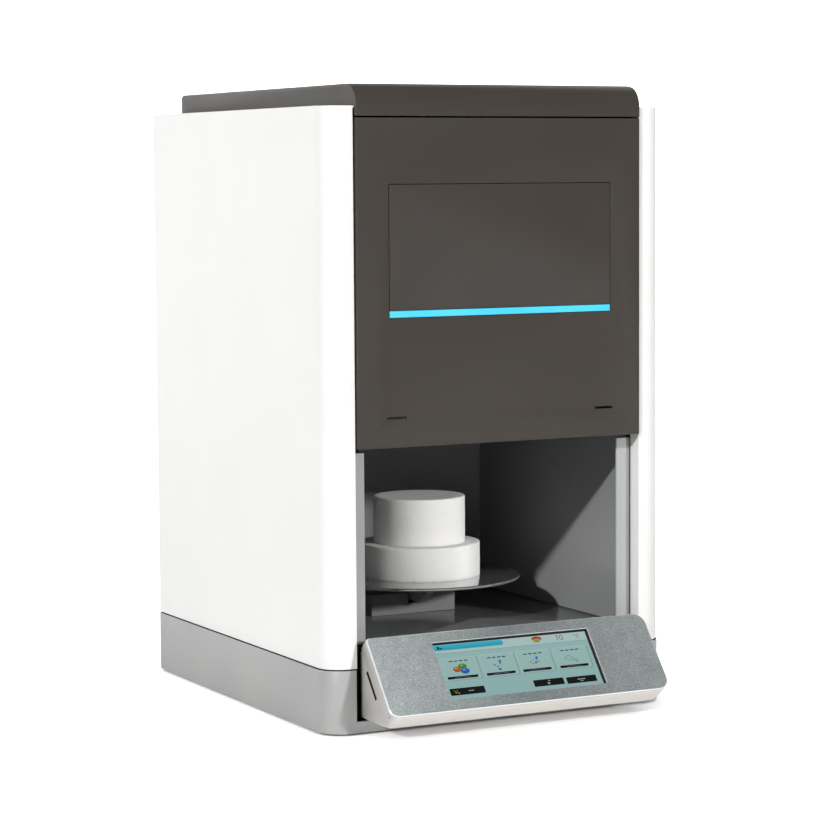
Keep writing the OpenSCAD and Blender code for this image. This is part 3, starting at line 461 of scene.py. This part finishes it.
# Loading cavity
# Folded sheet behind the front: a mid-grey liner, floor and shroud in semi-gloss enamel, and pale
# posts at the mouth, of which the right one reaches down behind the console.
def cavity_enamel(name, roughness):
    """Stove enamel: mid grey, with broad soft reflections, or sharper ones where it is polished."""
    material, tree, shader, grid = new_finish(name, "#838484", roughness, IOR=1.5)
    tint(tree, shader, speckle(tree, grid, 80, 0.0), "#818282", "#858686", 0.2, 0.8)
    relief(tree, shader, speckle(tree, grid, 2.5, 0.0), 0.002)
    return material


enamel = cavity_enamel("grey_stove_enamel", 0.26)
dressed("cavity_liner", 0.5, enamel)
dressed("cavity_floor", 0.5, cavity_enamel("polished_stove_enamel", 0.09))
dressed("lift_shroud", 0.8, enamel, 3)
dressed("chamber_plate", 0.5, enamel)
post_coat = powder_coat("silver_grey_powder_coat", "#A2A4A4", "#A7A9A9", 0.36)
posts = dressed("front_posts", 0.5, post_coat)
POST_FOOT = 80
nudge(posts, lambda spot: spot.x > 0 and spot.z < POST_FOOT + 0.1, (0, 0, -4))


# Tray
# A turned and polished stainless disc on a machined hub. Rings from the lathe run round its centre.
def turned_steel(name, shade, roughness, ring, centre):
    """Turned metal: mirror-like under a slight haze, with rings around the lathe's axis."""
    material, tree, shader, grid = new_finish(name, shade, roughness, 0.9)
    middle = [c * 1000 for c in centre]
    arm = add(tree, "ShaderNodeVectorMath", {0: grid, 1: middle}, operation="SUBTRACT")
    flat = add(tree, "ShaderNodeVectorMath", {0: arm.outputs["Vector"], 1: (1, 1, 0)},
               operation="MULTIPLY")
    reach = add(tree, "ShaderNodeVectorMath", {0: flat.outputs["Vector"]}, operation="LENGTH")
    rings = add(tree, "ShaderNodeTexNoise", {"W": reach.outputs["Value"], "Scale": 1 / ring},
                noise_dimensions="1D").outputs["Fac"]
    polish(tree, shader, rings, roughness - 0.01, roughness + 0.02)
    relief(tree, shader, rings, 0.0001)
    return material


LIFT_AXIS = at(0, 163, 0)
tray_steel = turned_steel("turned_stainless_steel", "#C4C5C5", 0.12, 1.1, LIFT_AXIS)
dressed("tray_disc", 0.3, tray_steel, 3)


def machined_alloy():
    """Milled aluminium: pale and satin, with fine cutter lines about 0.6 mm apart."""
    material, tree, shader, grid = new_finish("milled_aluminium", "#B9BABB", 0.34, 0.5)
    lines = speckle(tree, grid, 0.6, 2.0, (14, 1, 1))
    tint(tree, shader, speckle(tree, grid, 12), "#B0B1B2", "#C0C1C2")
    polish(tree, shader, lines, 0.28, 0.42)
    return material


alloy = machined_alloy()
dressed("tray_hub", 0.5, alloy)
dressed("lift_arm", 0.5, alloy)


# Fibre disc and plug
# Vacuum-formed ceramic fibre, cut to round. It is chalk white, dry and slightly fluffy, and its
# corners are knocked in a few places.
def fibre_board(name, dark, pale):
    """Ceramic fibre board: matt white with pin holes and short felted fibres."""
    material, tree, shader, grid = new_finish(name, pale, 0.95, IOR=1.3)
    tint(tree, shader, speckle(tree, grid, 9, 4.0), dark, pale, 0.3, 0.6)
    felt = speckle(tree, grid, 0.7, 3.0)
    pits = add(tree, "ShaderNodeTexVoronoi", {"Vector": grid, "Scale": 1 / 2.2}, feature="F1")
    holes = add(tree, "ShaderNodeMapRange", {"Value": pits.outputs["Distance"],
                                             "From Min": 0.05, "From Max": 0.22})
    height = add(tree, "ShaderNodeMath", {0: holes.outputs[0], 1: felt}, operation="ADD")
    relief(tree, shader, height.outputs[0], 0.09)
    return material


fibre = fibre_board("ceramic_fibre_board", "#F8F7F4", "#FCFBF9")


def fibre_round(node, radius, low, high, seed):
    """A round cut from board: slightly out of true, with soft rims and small chips along them."""
    around, rim, worn = 192, 1.0, 2.5
    wave_length, wave_depth = 14, 0.12
    chip_size, chip_from, chip_depth = 2.6, 0.32, 3.2
    outline = [(0.02, high)] + [(radius * k / 7, high) for k in range(1, 7)]
    outline += [(radius - rim, high), (radius - rim * 0.3, high - rim * 0.3), (radius, high - rim)]
    outline += [(radius, high + (low - high) * k / 14) for k in range(1, 14)]
    outline += [(radius, low + 0.1), (radius - 0.1, low)]
    outline += [(0.02, low)]
    shape = bmesh.new()
    rings = []
    for r, z in outline:
        near_rim = max(0.0, 1 - min(abs(z - high), abs(z - low)) / worn) if r > radius - 2 else 0.0
        ring = []
        for i in range(around):
            a = 2 * pi * i / around
            spot = Vector((r * cos(a), r * sin(a), z))
            wave = wave_depth * (noise.noise(spot / wave_length + Vector((seed, 0, 0))) - 0.5)
            chip = max(0.0, noise.noise(spot / chip_size + Vector((0, seed, 0))) - chip_from)
            reach = r if r < 1 else min(radius, r + wave) - near_rim * chip * chip_depth
            ring.append(shape.verts.new(LIFT_AXIS + Vector((reach * cos(a), reach * sin(a), z)) / 1000))
        rings.append(ring)
    skin(shape, rings)
    shape.faces.new(rings[0])
    shape.faces.new(list(reversed(rings[-1])))
    bmesh.ops.recalc_face_normals(shape, faces=shape.faces)
    piece = into_scene(node + "_cut", shape)
    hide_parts(node)
    join_body(piece, "lift", fibre)


fibre_round("lower_fibre_disc", 58.9, 115.5, 147.9, 3.0)
fibre_round("fibre_plug", 44.6, 147.9, 192.9, 8.0)


# Lift
# Behind the liner a milled carriage runs on two ground shafts and is driven by a lead screw.
# The screw's thread is cut, the shafts are hardened and ground, and the nut is bronze.
def ground_steel():
    """Hardened ground shafting: almost a mirror, with a trace of grinding lines."""
    material, tree, shader, grid = new_finish("ground_steel", "#AEB1B4", 0.16, 1.0)
    polish(tree, shader, speckle(tree, grid, 0.5, 2.0, (1, 1, 0.2)), 0.12, 0.22)
    return material


def cast_bronze():
    """Bearing bronze: warm yellow brown, turned satin."""
    material, tree, shader, grid = new_finish("bearing_bronze", "#B58A48", 0.32, 1.0)
    tint(tree, shader, speckle(tree, grid, 3), "#A87E40", "#C09552")
    polish(tree, shader, speckle(tree, grid, 0.5, 2.0, (6, 6, 0.5)), 0.26, 0.4)
    return material


shafting = ground_steel()
for name in ("guide_shafts", "linear_bushings"):
    dressed(name, 0.6, shafting)
paint("motor_shaft", shafting)
for name in ("lift_carriage", "lift_brackets", "screw_coupling"):
    dressed(name, 0.5, alloy)
dressed("lead_nut", 0.5, cast_bronze())
dressed("lift_motor", 1.2, black_coat, 3)


def cut_thread():
    """The screw with its five-start thread: crests 4 mm apart, 20 mm of lift to a turn."""
    depth, root, rise, journal = 348, 5.3, 0.7, 3
    around, pitch, starts = 40, 4.0, 5
    flank, valley = 3.2, 0.3
    foot, low, high, step = 58.0, 65.2, 288.0, 0.5
    shape = bmesh.new()
    rings = []
    for k in range(int((high - low) / step) + 1):
        z = low + k * step
        ring = []
        for i in range(around):
            turn = i / around
            phase = (z / pitch + starts * turn) % 1.0
            crest = min(1.0, max(0.0, flank * (0.5 - abs(phase - 0.5)) - valley))
            r = root + rise * crest
            ring.append(shape.verts.new(at(r * cos(2 * pi * turn), depth + r * sin(2 * pi * turn), z)))
        rings.append(ring)
    skin(shape, rings)
    shape.faces.new(list(reversed(rings[0])))
    shape.faces.new(rings[-1])
    turns = [2 * pi * i / around for i in range(around)]
    ends = [[shape.verts.new(at(journal * cos(a), depth + journal * sin(a), z)) for a in turns]
            for z in (foot, low)]
    skin(shape, ends)
    shape.faces.new(list(reversed(ends[0])))
    piece = into_scene("lead_screw_thread", shape)
    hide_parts("lead_screw")
    join_body(piece, "screw", bright_steel)


cut_thread()


def black_moulding():
    """Spark-eroded ABS: near black, with a fine dull grain."""
    material, tree, shader, grid = new_finish("black_abs", "#141414", 0.5, IOR=1.53)
    tint(tree, shader, speckle(tree, grid, 10), "#111111", "#191919")
    relief(tree, shader, speckle(tree, grid, 0.5), 0.02)
    return material


black_plastic = black_moulding()
dressed("limit_switches", 0.4, black_plastic)


# Heating chamber
# A sheet steel case holds stacked blocks of ceramic fibre. Glazed heating loops hang from the
# roof, in ceramic holders with alloy clamps, beside a sheathed thermocouple.
def brushed_sheet():
    """Stainless sheet as it comes from the mill: grey, with fine level brush lines."""
    material, tree, shader, grid = new_finish("brushed_stainless_sheet", "#9B9DA0", 0.34, 1.0)
    lines = speckle(tree, grid, 0.5, 3.0, (40, 40, 1))
    tint(tree, shader, speckle(tree, grid, 30), "#949699", "#A3A5A8")
    polish(tree, shader, lines, 0.28, 0.42)
    return material


def glazed_element():
    """Heating element: dark grey with the thin glass skin it grows when first fired."""
    material, tree, shader, grid = new_finish("glazed_heating_element", "#3A3836", 0.28, IOR=1.5)
    tint(tree, shader, speckle(tree, grid, 6), "#32302E", "#4A4744")
    relief(tree, shader, speckle(tree, grid, 1.0), 0.03)
    return material


def fired_ceramic():
    """Fired porcelain: ivory, dense and slightly glossy."""
    material, tree, shader, grid = new_finish("fired_porcelain", "#EDE6D6", 0.35, IOR=1.52)
    tint(tree, shader, speckle(tree, grid, 8), "#E8E0CE", "#F1EBDD")
    relief(tree, shader, speckle(tree, grid, 0.8), 0.015)
    return material


dressed("chamber_case", 0.5, brushed_sheet())
insulation = fibre_board("insulating_fibre_block", "#E6E2D8", "#F1EEE6")
for name in ("seat_insulation", "lower_insulation", "middle_insulation", "roof_insulation"):
    dressed(name, 1.0, insulation, 3)
paint("heating_elements", glazed_element())
porcelain = fired_ceramic()
dressed("element_holders", 0.6, porcelain)
dressed("terminal_clamps", 0.4, alloy)
dressed("thermocouple", 0.5, porcelain)


# Console housing
# A moulded housing carries the sloped front. It is off-white, painted darker grey where its cheeks face
# sideways, as painted shade.
def shaded_console_shell():
    """Moulded ABS in off-white, run to light grey where the surface faces sideways: painted shade on the
    cheeks.
    """
    material, tree, shader, grid = new_finish("off_white_abs_painted_cheek_shade", "#E2DED8", 0.4, IOR=1.53)
    # Painted shade: the colour darkens the more the surface faces sideways.
    facing = add(tree, "ShaderNodeNewGeometry")
    parts = add(tree, "ShaderNodeSeparateXYZ", {0: facing.outputs["Normal"]})
    side = add(tree, "ShaderNodeMath", {0: parts.outputs["X"]}, operation="ABSOLUTE")
    tint(tree, shader, side.outputs[0], "#E2DED8", "#B6B4B1", 0.2, 0.98)
    relief(tree, shader, speckle(tree, grid, 0.6), 0.015)
    return material


TILT = radians(51.4)
FOOT_Y, FOOT_Z = -61.9, 26.3


def slope_place(spot):
    """The place on the slope, as x, up and out in millimetres, of a spot in the scene."""
    y, z = (spot.y - FRONT_PLANE) * 1000 - FOOT_Y, spot.z * 1000 - FOOT_Z
    return spot.x * 1000, y * cos(TILT) + z * sin(TILT), z * cos(TILT) - y * sin(TILT)


housing = dressed("console_housing", 0.9, shaded_console_shell(), 3)


def in_card_slot(spot):
    """Tells whether a spot lies on a wall of the card slot, which is cut into the left cheek."""
    cheek, foot, head, back, front = -132, 30, 61, -25, -21.5
    x, up, out = slope_place(spot)
    return x < cheek and foot < up < head and back < out < front


# The slot's walls are the small faces there, and they are made black as painted shade inside the slot. Its
# back wall is set deeper, which widens the slot.
LARGEST_WALL = 3e-4
SLOT_MIDDLE, WIDER = -23.5, 1.6
repaint(housing, black_plastic, lambda face: in_card_slot(face.center) and face.area < LARGEST_WALL)
nudge(housing, lambda spot: in_card_slot(spot / 1000) and slope_place(spot / 1000)[2] < SLOT_MIDDLE,
      (0, WIDER * sin(TILT), -WIDER * cos(TILT)))


# Console plate
# A sheet of aluminium covers the console's face. It is blasted to a sparkling grey, and its edges
# are cut with a bright chamfer.
PLATE_HALF, PLATE_H = 146.0, 81.4


def on_slope(x, up, out):
    """A place x mm from the middle, up mm up the slope and out mm in front of the plate."""
    return at(x, FOOT_Y + up * cos(TILT) - out * sin(TILT), FOOT_Z + up * sin(TILT) + out * cos(TILT))


def blasted_aluminium():
    """Bead-blasted and anodised: blue grey, with bright and dark grains drawn coarse, 1 mm wide, to show, and
    a painted reflection that is pale at the left end and darkest in the middle.
    """
    material, tree, shader, grid = new_finish("anodised_plate_painted_reflection", "#9AA3A4", 0.45, 0.5)
    across = add(tree, "ShaderNodeSeparateXYZ", {0: grid})
    run = add(tree, "ShaderNodeMapRange", {
        "Value": across.outputs["X"], "From Min": -PLATE_HALF, "From Max": PLATE_HALF})
    # Painted reflection: across the plate the colour runs pale at the left end, darkest in the middle and mid
    # grey at the right.
    painted_reflection = add(tree, "ShaderNodeValToRGB", {"Fac": run.outputs[0]})
    painted_reflection.color_ramp.elements[0].color = linear("#BDC5C5")
    painted_reflection.color_ramp.elements[1].color = linear("#A3A9A9")
    painted_reflection.color_ramp.elements.new(0.5).color = linear("#8B9394")
    clouds = add(tree, "ShaderNodeMapRange", {"Value": speckle(tree, grid, 14), "To Min": 0.8, "To Max": 1.2})
    grains = speckle(tree, grid, 1.1, 3.0)
    glint = add(tree, "ShaderNodeMapRange", {"Value": grains, "From Min": 0.38, "From Max": 0.66,
                                             "To Min": 0.8, "To Max": 1.34})
    both = add(tree, "ShaderNodeMath", {0: clouds.outputs[0], 1: glint.outputs[0]}, operation="MULTIPLY")
    shade = add(tree, "ShaderNodeVectorMath", {0: painted_reflection.outputs["Color"], "Scale": both.outputs[0]},
                operation="SCALE")
    tree.links.new(shade.outputs["Vector"], shader.inputs["Base Color"])
    relief(tree, shader, grains, 0.03)
    return material


def cut_chamfer():
    """Diamond-cut edge of the plate: bare bright aluminium."""
    material, tree, shader, grid = new_finish("diamond_cut_aluminium", "#F0F1F1", 0.2, 0.35)
    polish(tree, shader, speckle(tree, grid, 1.2), 0.16, 0.26)
    return material


def rounded_outline(x0, y0, x1, y1, radii, steps=10):
    """Corner points of a rectangle, anticlockwise from the upper right, with one radius or four."""
    ur, ul, ll, lr = radii if isinstance(radii, tuple) else (radii,) * 4
    points = []
    for cx, cy, r, start in ((x1 - ur, y1 - ur, ur, 0), (x0 + ul, y1 - ul, ul, 90),
                             (x0 + ll, y0 + ll, ll, 180), (x1 - lr, y0 + lr, lr, 270)):
        for k in range(steps + 1):
            a = radians(start + 90 * k / steps)
            points.append((cx + r * cos(a), cy + r * sin(a)))
    return points


def console_face():
    """The plate with its screen opening. Its outer chamfer and the opening's lip have the cut finish."""
    thick, cut, lip, steps = 1.6, 1.0, 0.3, 12
    left, low, right, high = -82.3, 12.0, 81.0, 70.4
    edge = rounded_outline(-PLATE_HALF, 0, PLATE_HALF, PLATE_H, (12, 4, 9, 12), steps)
    face_edge = rounded_outline(cut - PLATE_HALF, cut, PLATE_HALF - cut, PLATE_H - cut, (11, 3, 8, 11), steps)
    hole_edge = rounded_outline(left - lip, low - lip, right + lip, high + lip, 0.6, steps)
    hole = rounded_outline(left, low, right, high, 0.4, steps)
    loops = ((edge, -thick), (edge, -cut), (face_edge, 0.0), (hole_edge, 0.0), (hole, -lip), (hole, -thick))
    shape = bmesh.new()
    rings = [[shape.verts.new(on_slope(x, y, out)) for x, y in loop] for loop, out in loops]
    for k, band in enumerate(skin(shape, rings + rings[:1])):
        for face in band:
            face.material_index = 1 if k in (1, 3) else 0
            face.smooth = k in (0, 1)
    bmesh.ops.recalc_face_normals(shape, faces=shape.faces)
    piece = into_scene("console_face", shape)
    piece.data.set_sharp_from_angle(angle=radians(30))
    piece.data.materials.append(blasted_aluminium())
    piece.data.materials.append(cut_chamfer())
    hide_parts("console_plate")
    join_body(piece, "chassis")


console_face()


# Touch screen
# A black bezel holds the display glass 2 mm below the plate. The picture is a plain menu: a title
# bar, four tiles with simple signs, three dark buttons and a temperature.
def display_black():
    """Black glass around the picture: deep and glossy."""
    material, tree, shader, grid = new_finish("black_display_glass", "#050607", 0.08, IOR=1.52)
    polish(tree, shader, speckle(tree, grid, 20), 0.06, 0.1)
    return material


GLASS = -2.0
SCREEN_LEFT, SCREEN_LOW = -81.9, 12.2
PICTURE_W, PICTURE_H = 160.3, 56.2
TILES = ((2.2, 39.4), (42.4, 78.2), (80.4, 116.2), (119.6, 155.6))


def lit(name, low, high=None, glow=0.62, across=(0, 1)):
    """A lit patch of the picture under glass, shaded from one colour to the other up the slope."""
    material, tree, shader, grid = new_finish(name, "#000000", 0.12, IOR=1.5)
    height = add(tree, "ShaderNodeSeparateXYZ", {0: grid})
    run = add(tree, "ShaderNodeMapRange", {
        "Value": height.outputs["Z"],
        "From Min": FOOT_Z + SCREEN_LOW * sin(TILT),
        "From Max": FOOT_Z + (SCREEN_LOW + PICTURE_H) * sin(TILT),
        "To Min": across[0], "To Max": across[1]})
    ramp = add(tree, "ShaderNodeValToRGB", {"Fac": run.outputs[0]})
    ramp.color_ramp.elements[0].color = linear(low)
    ramp.color_ramp.elements[1].color = linear(high or low)
    tree.links.new(ramp.outputs["Color"], shader.inputs["Emission Color"])
    shader.inputs["Emission Strength"].default_value = glow
    return material


def leaves(name, outlines, rise, material):
    """Thin patches of the picture, by their outlines in screen millimetres and height over the glass."""
    thick = 0.06
    shape = bmesh.new()
    for outline in outlines:
        top, low = [[shape.verts.new(on_slope(x + SCREEN_LEFT, y + SCREEN_LOW, GLASS + rise - drop))
                     for x, y in outline] for drop in (0, thick)]
        shape.faces.new(top)
        skin(shape, [low, top], smooth=False)
    bmesh.ops.recalc_face_normals(shape, faces=shape.faces)
    join_body(into_scene(name, shape), "chassis", material)


def disc_outline(x, y, rx, ry, steps=20):
    """A round or oval patch."""
    return [(x + rx * cos(2 * pi * k / steps), y + ry * sin(2 * pi * k / steps)) for k in range(steps)]


def line_outline(x0, y0, x1, y1, w):
    """A straight stroke w mm wide."""
    length = hypot(x1 - x0, y1 - y0)
    dx, dy = (y1 - y0) / length * w / 2, (x0 - x1) / length * w / 2
    return [(x0 + dx, y0 + dy), (x1 + dx, y1 + dy), (x1 - dx, y1 - dy), (x0 - dx, y0 - dy)]


def ring_outlines(x, y, rx, ry, w, start=0, turn=360, steps=18):
    """A round stroke, as a row of short straight ones."""
    angles = [radians(start + turn * k / steps) for k in range(steps + 1)]
    spots = [(x + rx * cos(a), y + ry * sin(a)) for a in angles]
    return [line_outline(*a, *b, w) for a, b in zip(spots, spots[1:])]


def captions():
    """Four short dashes near the top of each tile."""
    rows = []
    for a, b in TILES:
        for k in range(4):
            x = (a + b) / 2 - 10 + 5.2 * k
            rows.append(rounded_outline(x, 37.9, x + 3.8, 38.9, 0.3))
    return rows


def arrow(x):
    """An arrow that points up, with its foot slightly askew."""
    return [(x - 1.8, 33.2), (x + 0.4, 36.2), (x + 2.0, 33.4), (x + 0.9, 33.2),
            (x + 0.4, 31.0), (x - 0.9, 30.8), (x - 0.7, 33.0)]


dressed("screen_bezel", 0.3, black_plastic)
dressed("touch_display", 0.2, display_black())
leaves("picture_ground", [rounded_outline(0.0, 0.0, PICTURE_W, PICTURE_H, 0.3)], 0.05,
       lit("picture_ground", "#9CC4C3", "#A3C8C6", 0.72))
leaves("picture_head", [rounded_outline(0.0, 47.3, PICTURE_W, PICTURE_H, 0.3)], 0.09,
       lit("picture_head", "#AECFCD", "#BBD6D3", 0.72))
leaves("head_line", [rounded_outline(0.0, 47.0, 158.8, 47.4, 0.1)], 0.12,
       lit("head_line", "#7FA5A5", glow=0.72))
leaves("title_bar", [rounded_outline(0.2, 50.4, 72.2, 55.9, (2.7, 0.3, 0.3, 2.7))], 0.13,
       lit("title_blue", "#1F95B4", "#3CB8D0", 0.8, (-8.0, 1.4)))
leaves("title_sign", [rounded_outline(3.8, 51.6, 6.0, 54.4, 0.3), rounded_outline(6.4, 51.8, 8.8, 53.0, 0.3)],
       0.17, lit("sign_navy", "#0A2434"))
leaves("tile_shadows", [rounded_outline(a + 0.6, 18.9, b + 0.8, 41.4, 2) for a, b in TILES], 0.13,
       lit("tile_shadow", "#82A6A7"))
leaves("tile_rims", [rounded_outline(a, 19.4, b, 42.0, 2) for a, b in TILES], 0.17,
       lit("tile_rim", "#B9D6D3", "#C2DCD8", 0.72))
leaves("tile_faces", [rounded_outline(a + 0.4, 19.8, b - 0.4, 41.6, 1.6) for a, b in TILES], 0.21,
       lit("tile_face", "#A2C8C6", "#A9CCC9", 0.72))
leaves("tile_feet", [rounded_outline(a + 2.0, 20.4, b - 3.8, 23.0, (0.4, 1.2, 1.2, 1.2)) for a, b in TILES]
       + [rounded_outline(2.0, 4.0, 37.6, 11.0, 1.0), rounded_outline(88.6, 4.2, 120.2, 11.0, 1.0),
          rounded_outline(123.2, 3.8, 154.8, 10.5, 1.0)],
       0.26, lit("button_black", "#08090A", "#0D1113"))
leaves("tile_foot_shines", [line_outline(a + 9, 21.2, a + 17, 22.0, 0.3) for a, b in TILES]
       + [line_outline(a + 17, 22.1, a + 25, 21.3, 0.25) for a, b in TILES],
       0.3, lit("foot_shine", "#8D9A9C", "#9EAAAC"))
leaves("tile_captions", captions(), 0.26, lit("caption_grey", "#2C4143"))
for name, oval, rise, low, high, across in (
        ("ball_green", (23.0, 32.6, 4.4, 2.8), 0.26, "#4E8F2C", "#86C14C", (-2.6, 2.0)),
        ("ball_orange", (16.6, 29.8, 4.0, 2.9), 0.28, "#B5661F", "#D8943A", (-2.2, 2.2)),
        ("ball_blue", (24.2, 27.8, 4.6, 3.0), 0.3, "#2468B8", "#4E98DC", (-2.0, 2.4))):
    leaves(name, [disc_outline(*oval)], rise, lit(name, low, high, 0.7, across))
leaves("ball_shines", [disc_outline(x, y, rx, 0.5) for x, y, rx in (
    (22.4, 33.6, 1.2), (15.8, 30.9, 1.1), (23.4, 28.9, 1.2))], 0.32, lit("shine_white", "#C8D6CC", glow=0.7))
leaves("blue_arrows", [arrow(62.0), arrow(100.6)], 0.26, lit("arrow_blue", "#2A7FC8", "#2F88D2", 0.7))
leaves("sign_dots", [disc_outline(56.0, 30.8, 0.9, 0.8), disc_outline(58.6, 28.8, 0.9, 0.8),
                     disc_outline(59.8, 26.0, 1.6, 1.2)], 0.26, lit("dot_grey", "#5E7C7E"))
leaves("sign_dots_gold", [disc_outline(93.4, 29.9, 1.0, 0.8), disc_outline(97.0, 31.6, 0.8, 0.7),
                          disc_outline(101.6, 29.6, 1.0, 0.8)], 0.26, lit("dot_gold", "#B0903C", "#BB9C46"))
leaves("sign_dots_dark", [disc_outline(98.6, 29.0, 1.3, 0.9), disc_outline(95.2, 28.0, 0.7, 0.6)],
       0.26, lit("dot_dark", "#44524E"))
BOX = [(129.6, 30.2), (134.0, 33.2), (138.6, 30.4), (134.2, 27.4)]
leaves("box_sign", [line_outline(*BOX[k], *BOX[(k + 1) % 4], 0.5) for k in range(4)]
       + [line_outline(137.6, 28.2, 142.6, 25.6, 0.9), line_outline(139.6, 29.4, 143.4, 27.4, 0.5)],
       0.26, lit("sign_grey", "#7F9C9C"))
leaves("heat_sign_red", [disc_outline(107.6, 53.0, 5.3, 2.6)], 0.15, lit("sign_red", "#A8402C", "#B84C34"))
leaves("heat_sign_gold", [disc_outline(107.4, 51.8, 4.4, 1.5)], 0.19, lit("sign_gold", "#C0A03A", "#CCB04A"))
leaves("heat_sign_foot", [disc_outline(107.2, 50.4, 2.8, 0.9)], 0.21, lit("sign_sage", "#7E8F5A", "#8C9C66"))
leaves("temperature", [line_outline(129.4, 49.7, 129.4, 54.9, 0.7)]
       + [line_outline(128.0, 54.0, 129.4, 54.8, 0.5)]
       + ring_outlines(133.6, 52.2, 1.6, 2.4, 0.6)
       + ring_outlines(147.4, 54.0, 0.6, 0.5, 0.3, steps=8)
       + ring_outlines(151.2, 52.2, 1.5, 1.6, 0.5, 45, 270),
       0.15, lit("digit_red", "#8A3A44", "#9C4450"))
leaves("button_signs", [[(103.4, 8.8), (105.0, 10.2), (106.6, 8.8)]]
       + [rounded_outline(102.8, 5.6, 105.4, 7.4, 0.2), rounded_outline(134.6, 7.0, 143.0, 8.0, 0.3),
          rounded_outline(137.0, 5.2, 140.6, 5.9, 0.3), rounded_outline(20.8, 7.2, 26.4, 8.0, 0.3)],
       0.3, lit("button_white", "#A9B0B2", "#B6BCBE"))
leaves("button_sign_gold", [line_outline(6.2, 9.2, 8.0, 6.0, 0.6), line_outline(8.0, 6.0, 9.6, 9.0, 0.6),
                            disc_outline(10.6, 6.0, 0.9, 0.7)], 0.3, lit("sign_amber", "#B0A038", "#C2B24A"))


# Electrics in the base
# A laminated transformer with taped coils, a finned power controller and green boards with their
# relays and capacitors, all inside the base tub and the console.
def laminated_core():
    """Stacked transformer sheets under varnish: dark brown with thin level lines 0.5 mm apart."""
    material, tree, shader, grid = new_finish("varnished_core_sheets", "#3B342E", 0.4, 0.4)
    lines = speckle(tree, grid, 0.5, 1.0, (60, 60, 1))
    tint(tree, shader, lines, "#2C2622", "#4A423B")
    relief(tree, shader, lines, 0.05)
    return material


def board_green():
    """Circuit board under green solder mask, with paler tracks showing through."""
    material, tree, shader, grid = new_finish("green_solder_mask", "#1E4A2E", 0.3, IOR=1.5)
    tracks = speckle(tree, grid, 1.6, 1.0, (8, 1, 1))
    tint(tree, shader, tracks, "#173C25", "#2B6240", 0.45, 0.55)
    return material


board = board_green()
dressed("transformer", 1.0, laminated_core())
dressed("power_controller", 0.3, alloy)
dressed("control_board", 0.2, board)
dressed("display_board", 0.2, board)


# Cooling fan
# A bought-in fan of black plastic behind a chrome-plated wire guard on the rear panel.
dressed("fan_frame", 0.6, black_plastic)
dressed("fan_rotor", 0.4, black_plastic)
dressed("fan_guard", 0.5, shafting, 3)


# Inlet and switch
# A sunken black tray in the rear of the base holds the mains inlet and a rocker switch.
dressed("inlet_panel", 0.4, black_coat)
dressed("power_inlet", 0.4, black_plastic)
dressed("switch_frame", 0.4, black_plastic)
dressed("switch_rocker", 0.5, black_plastic, 3)
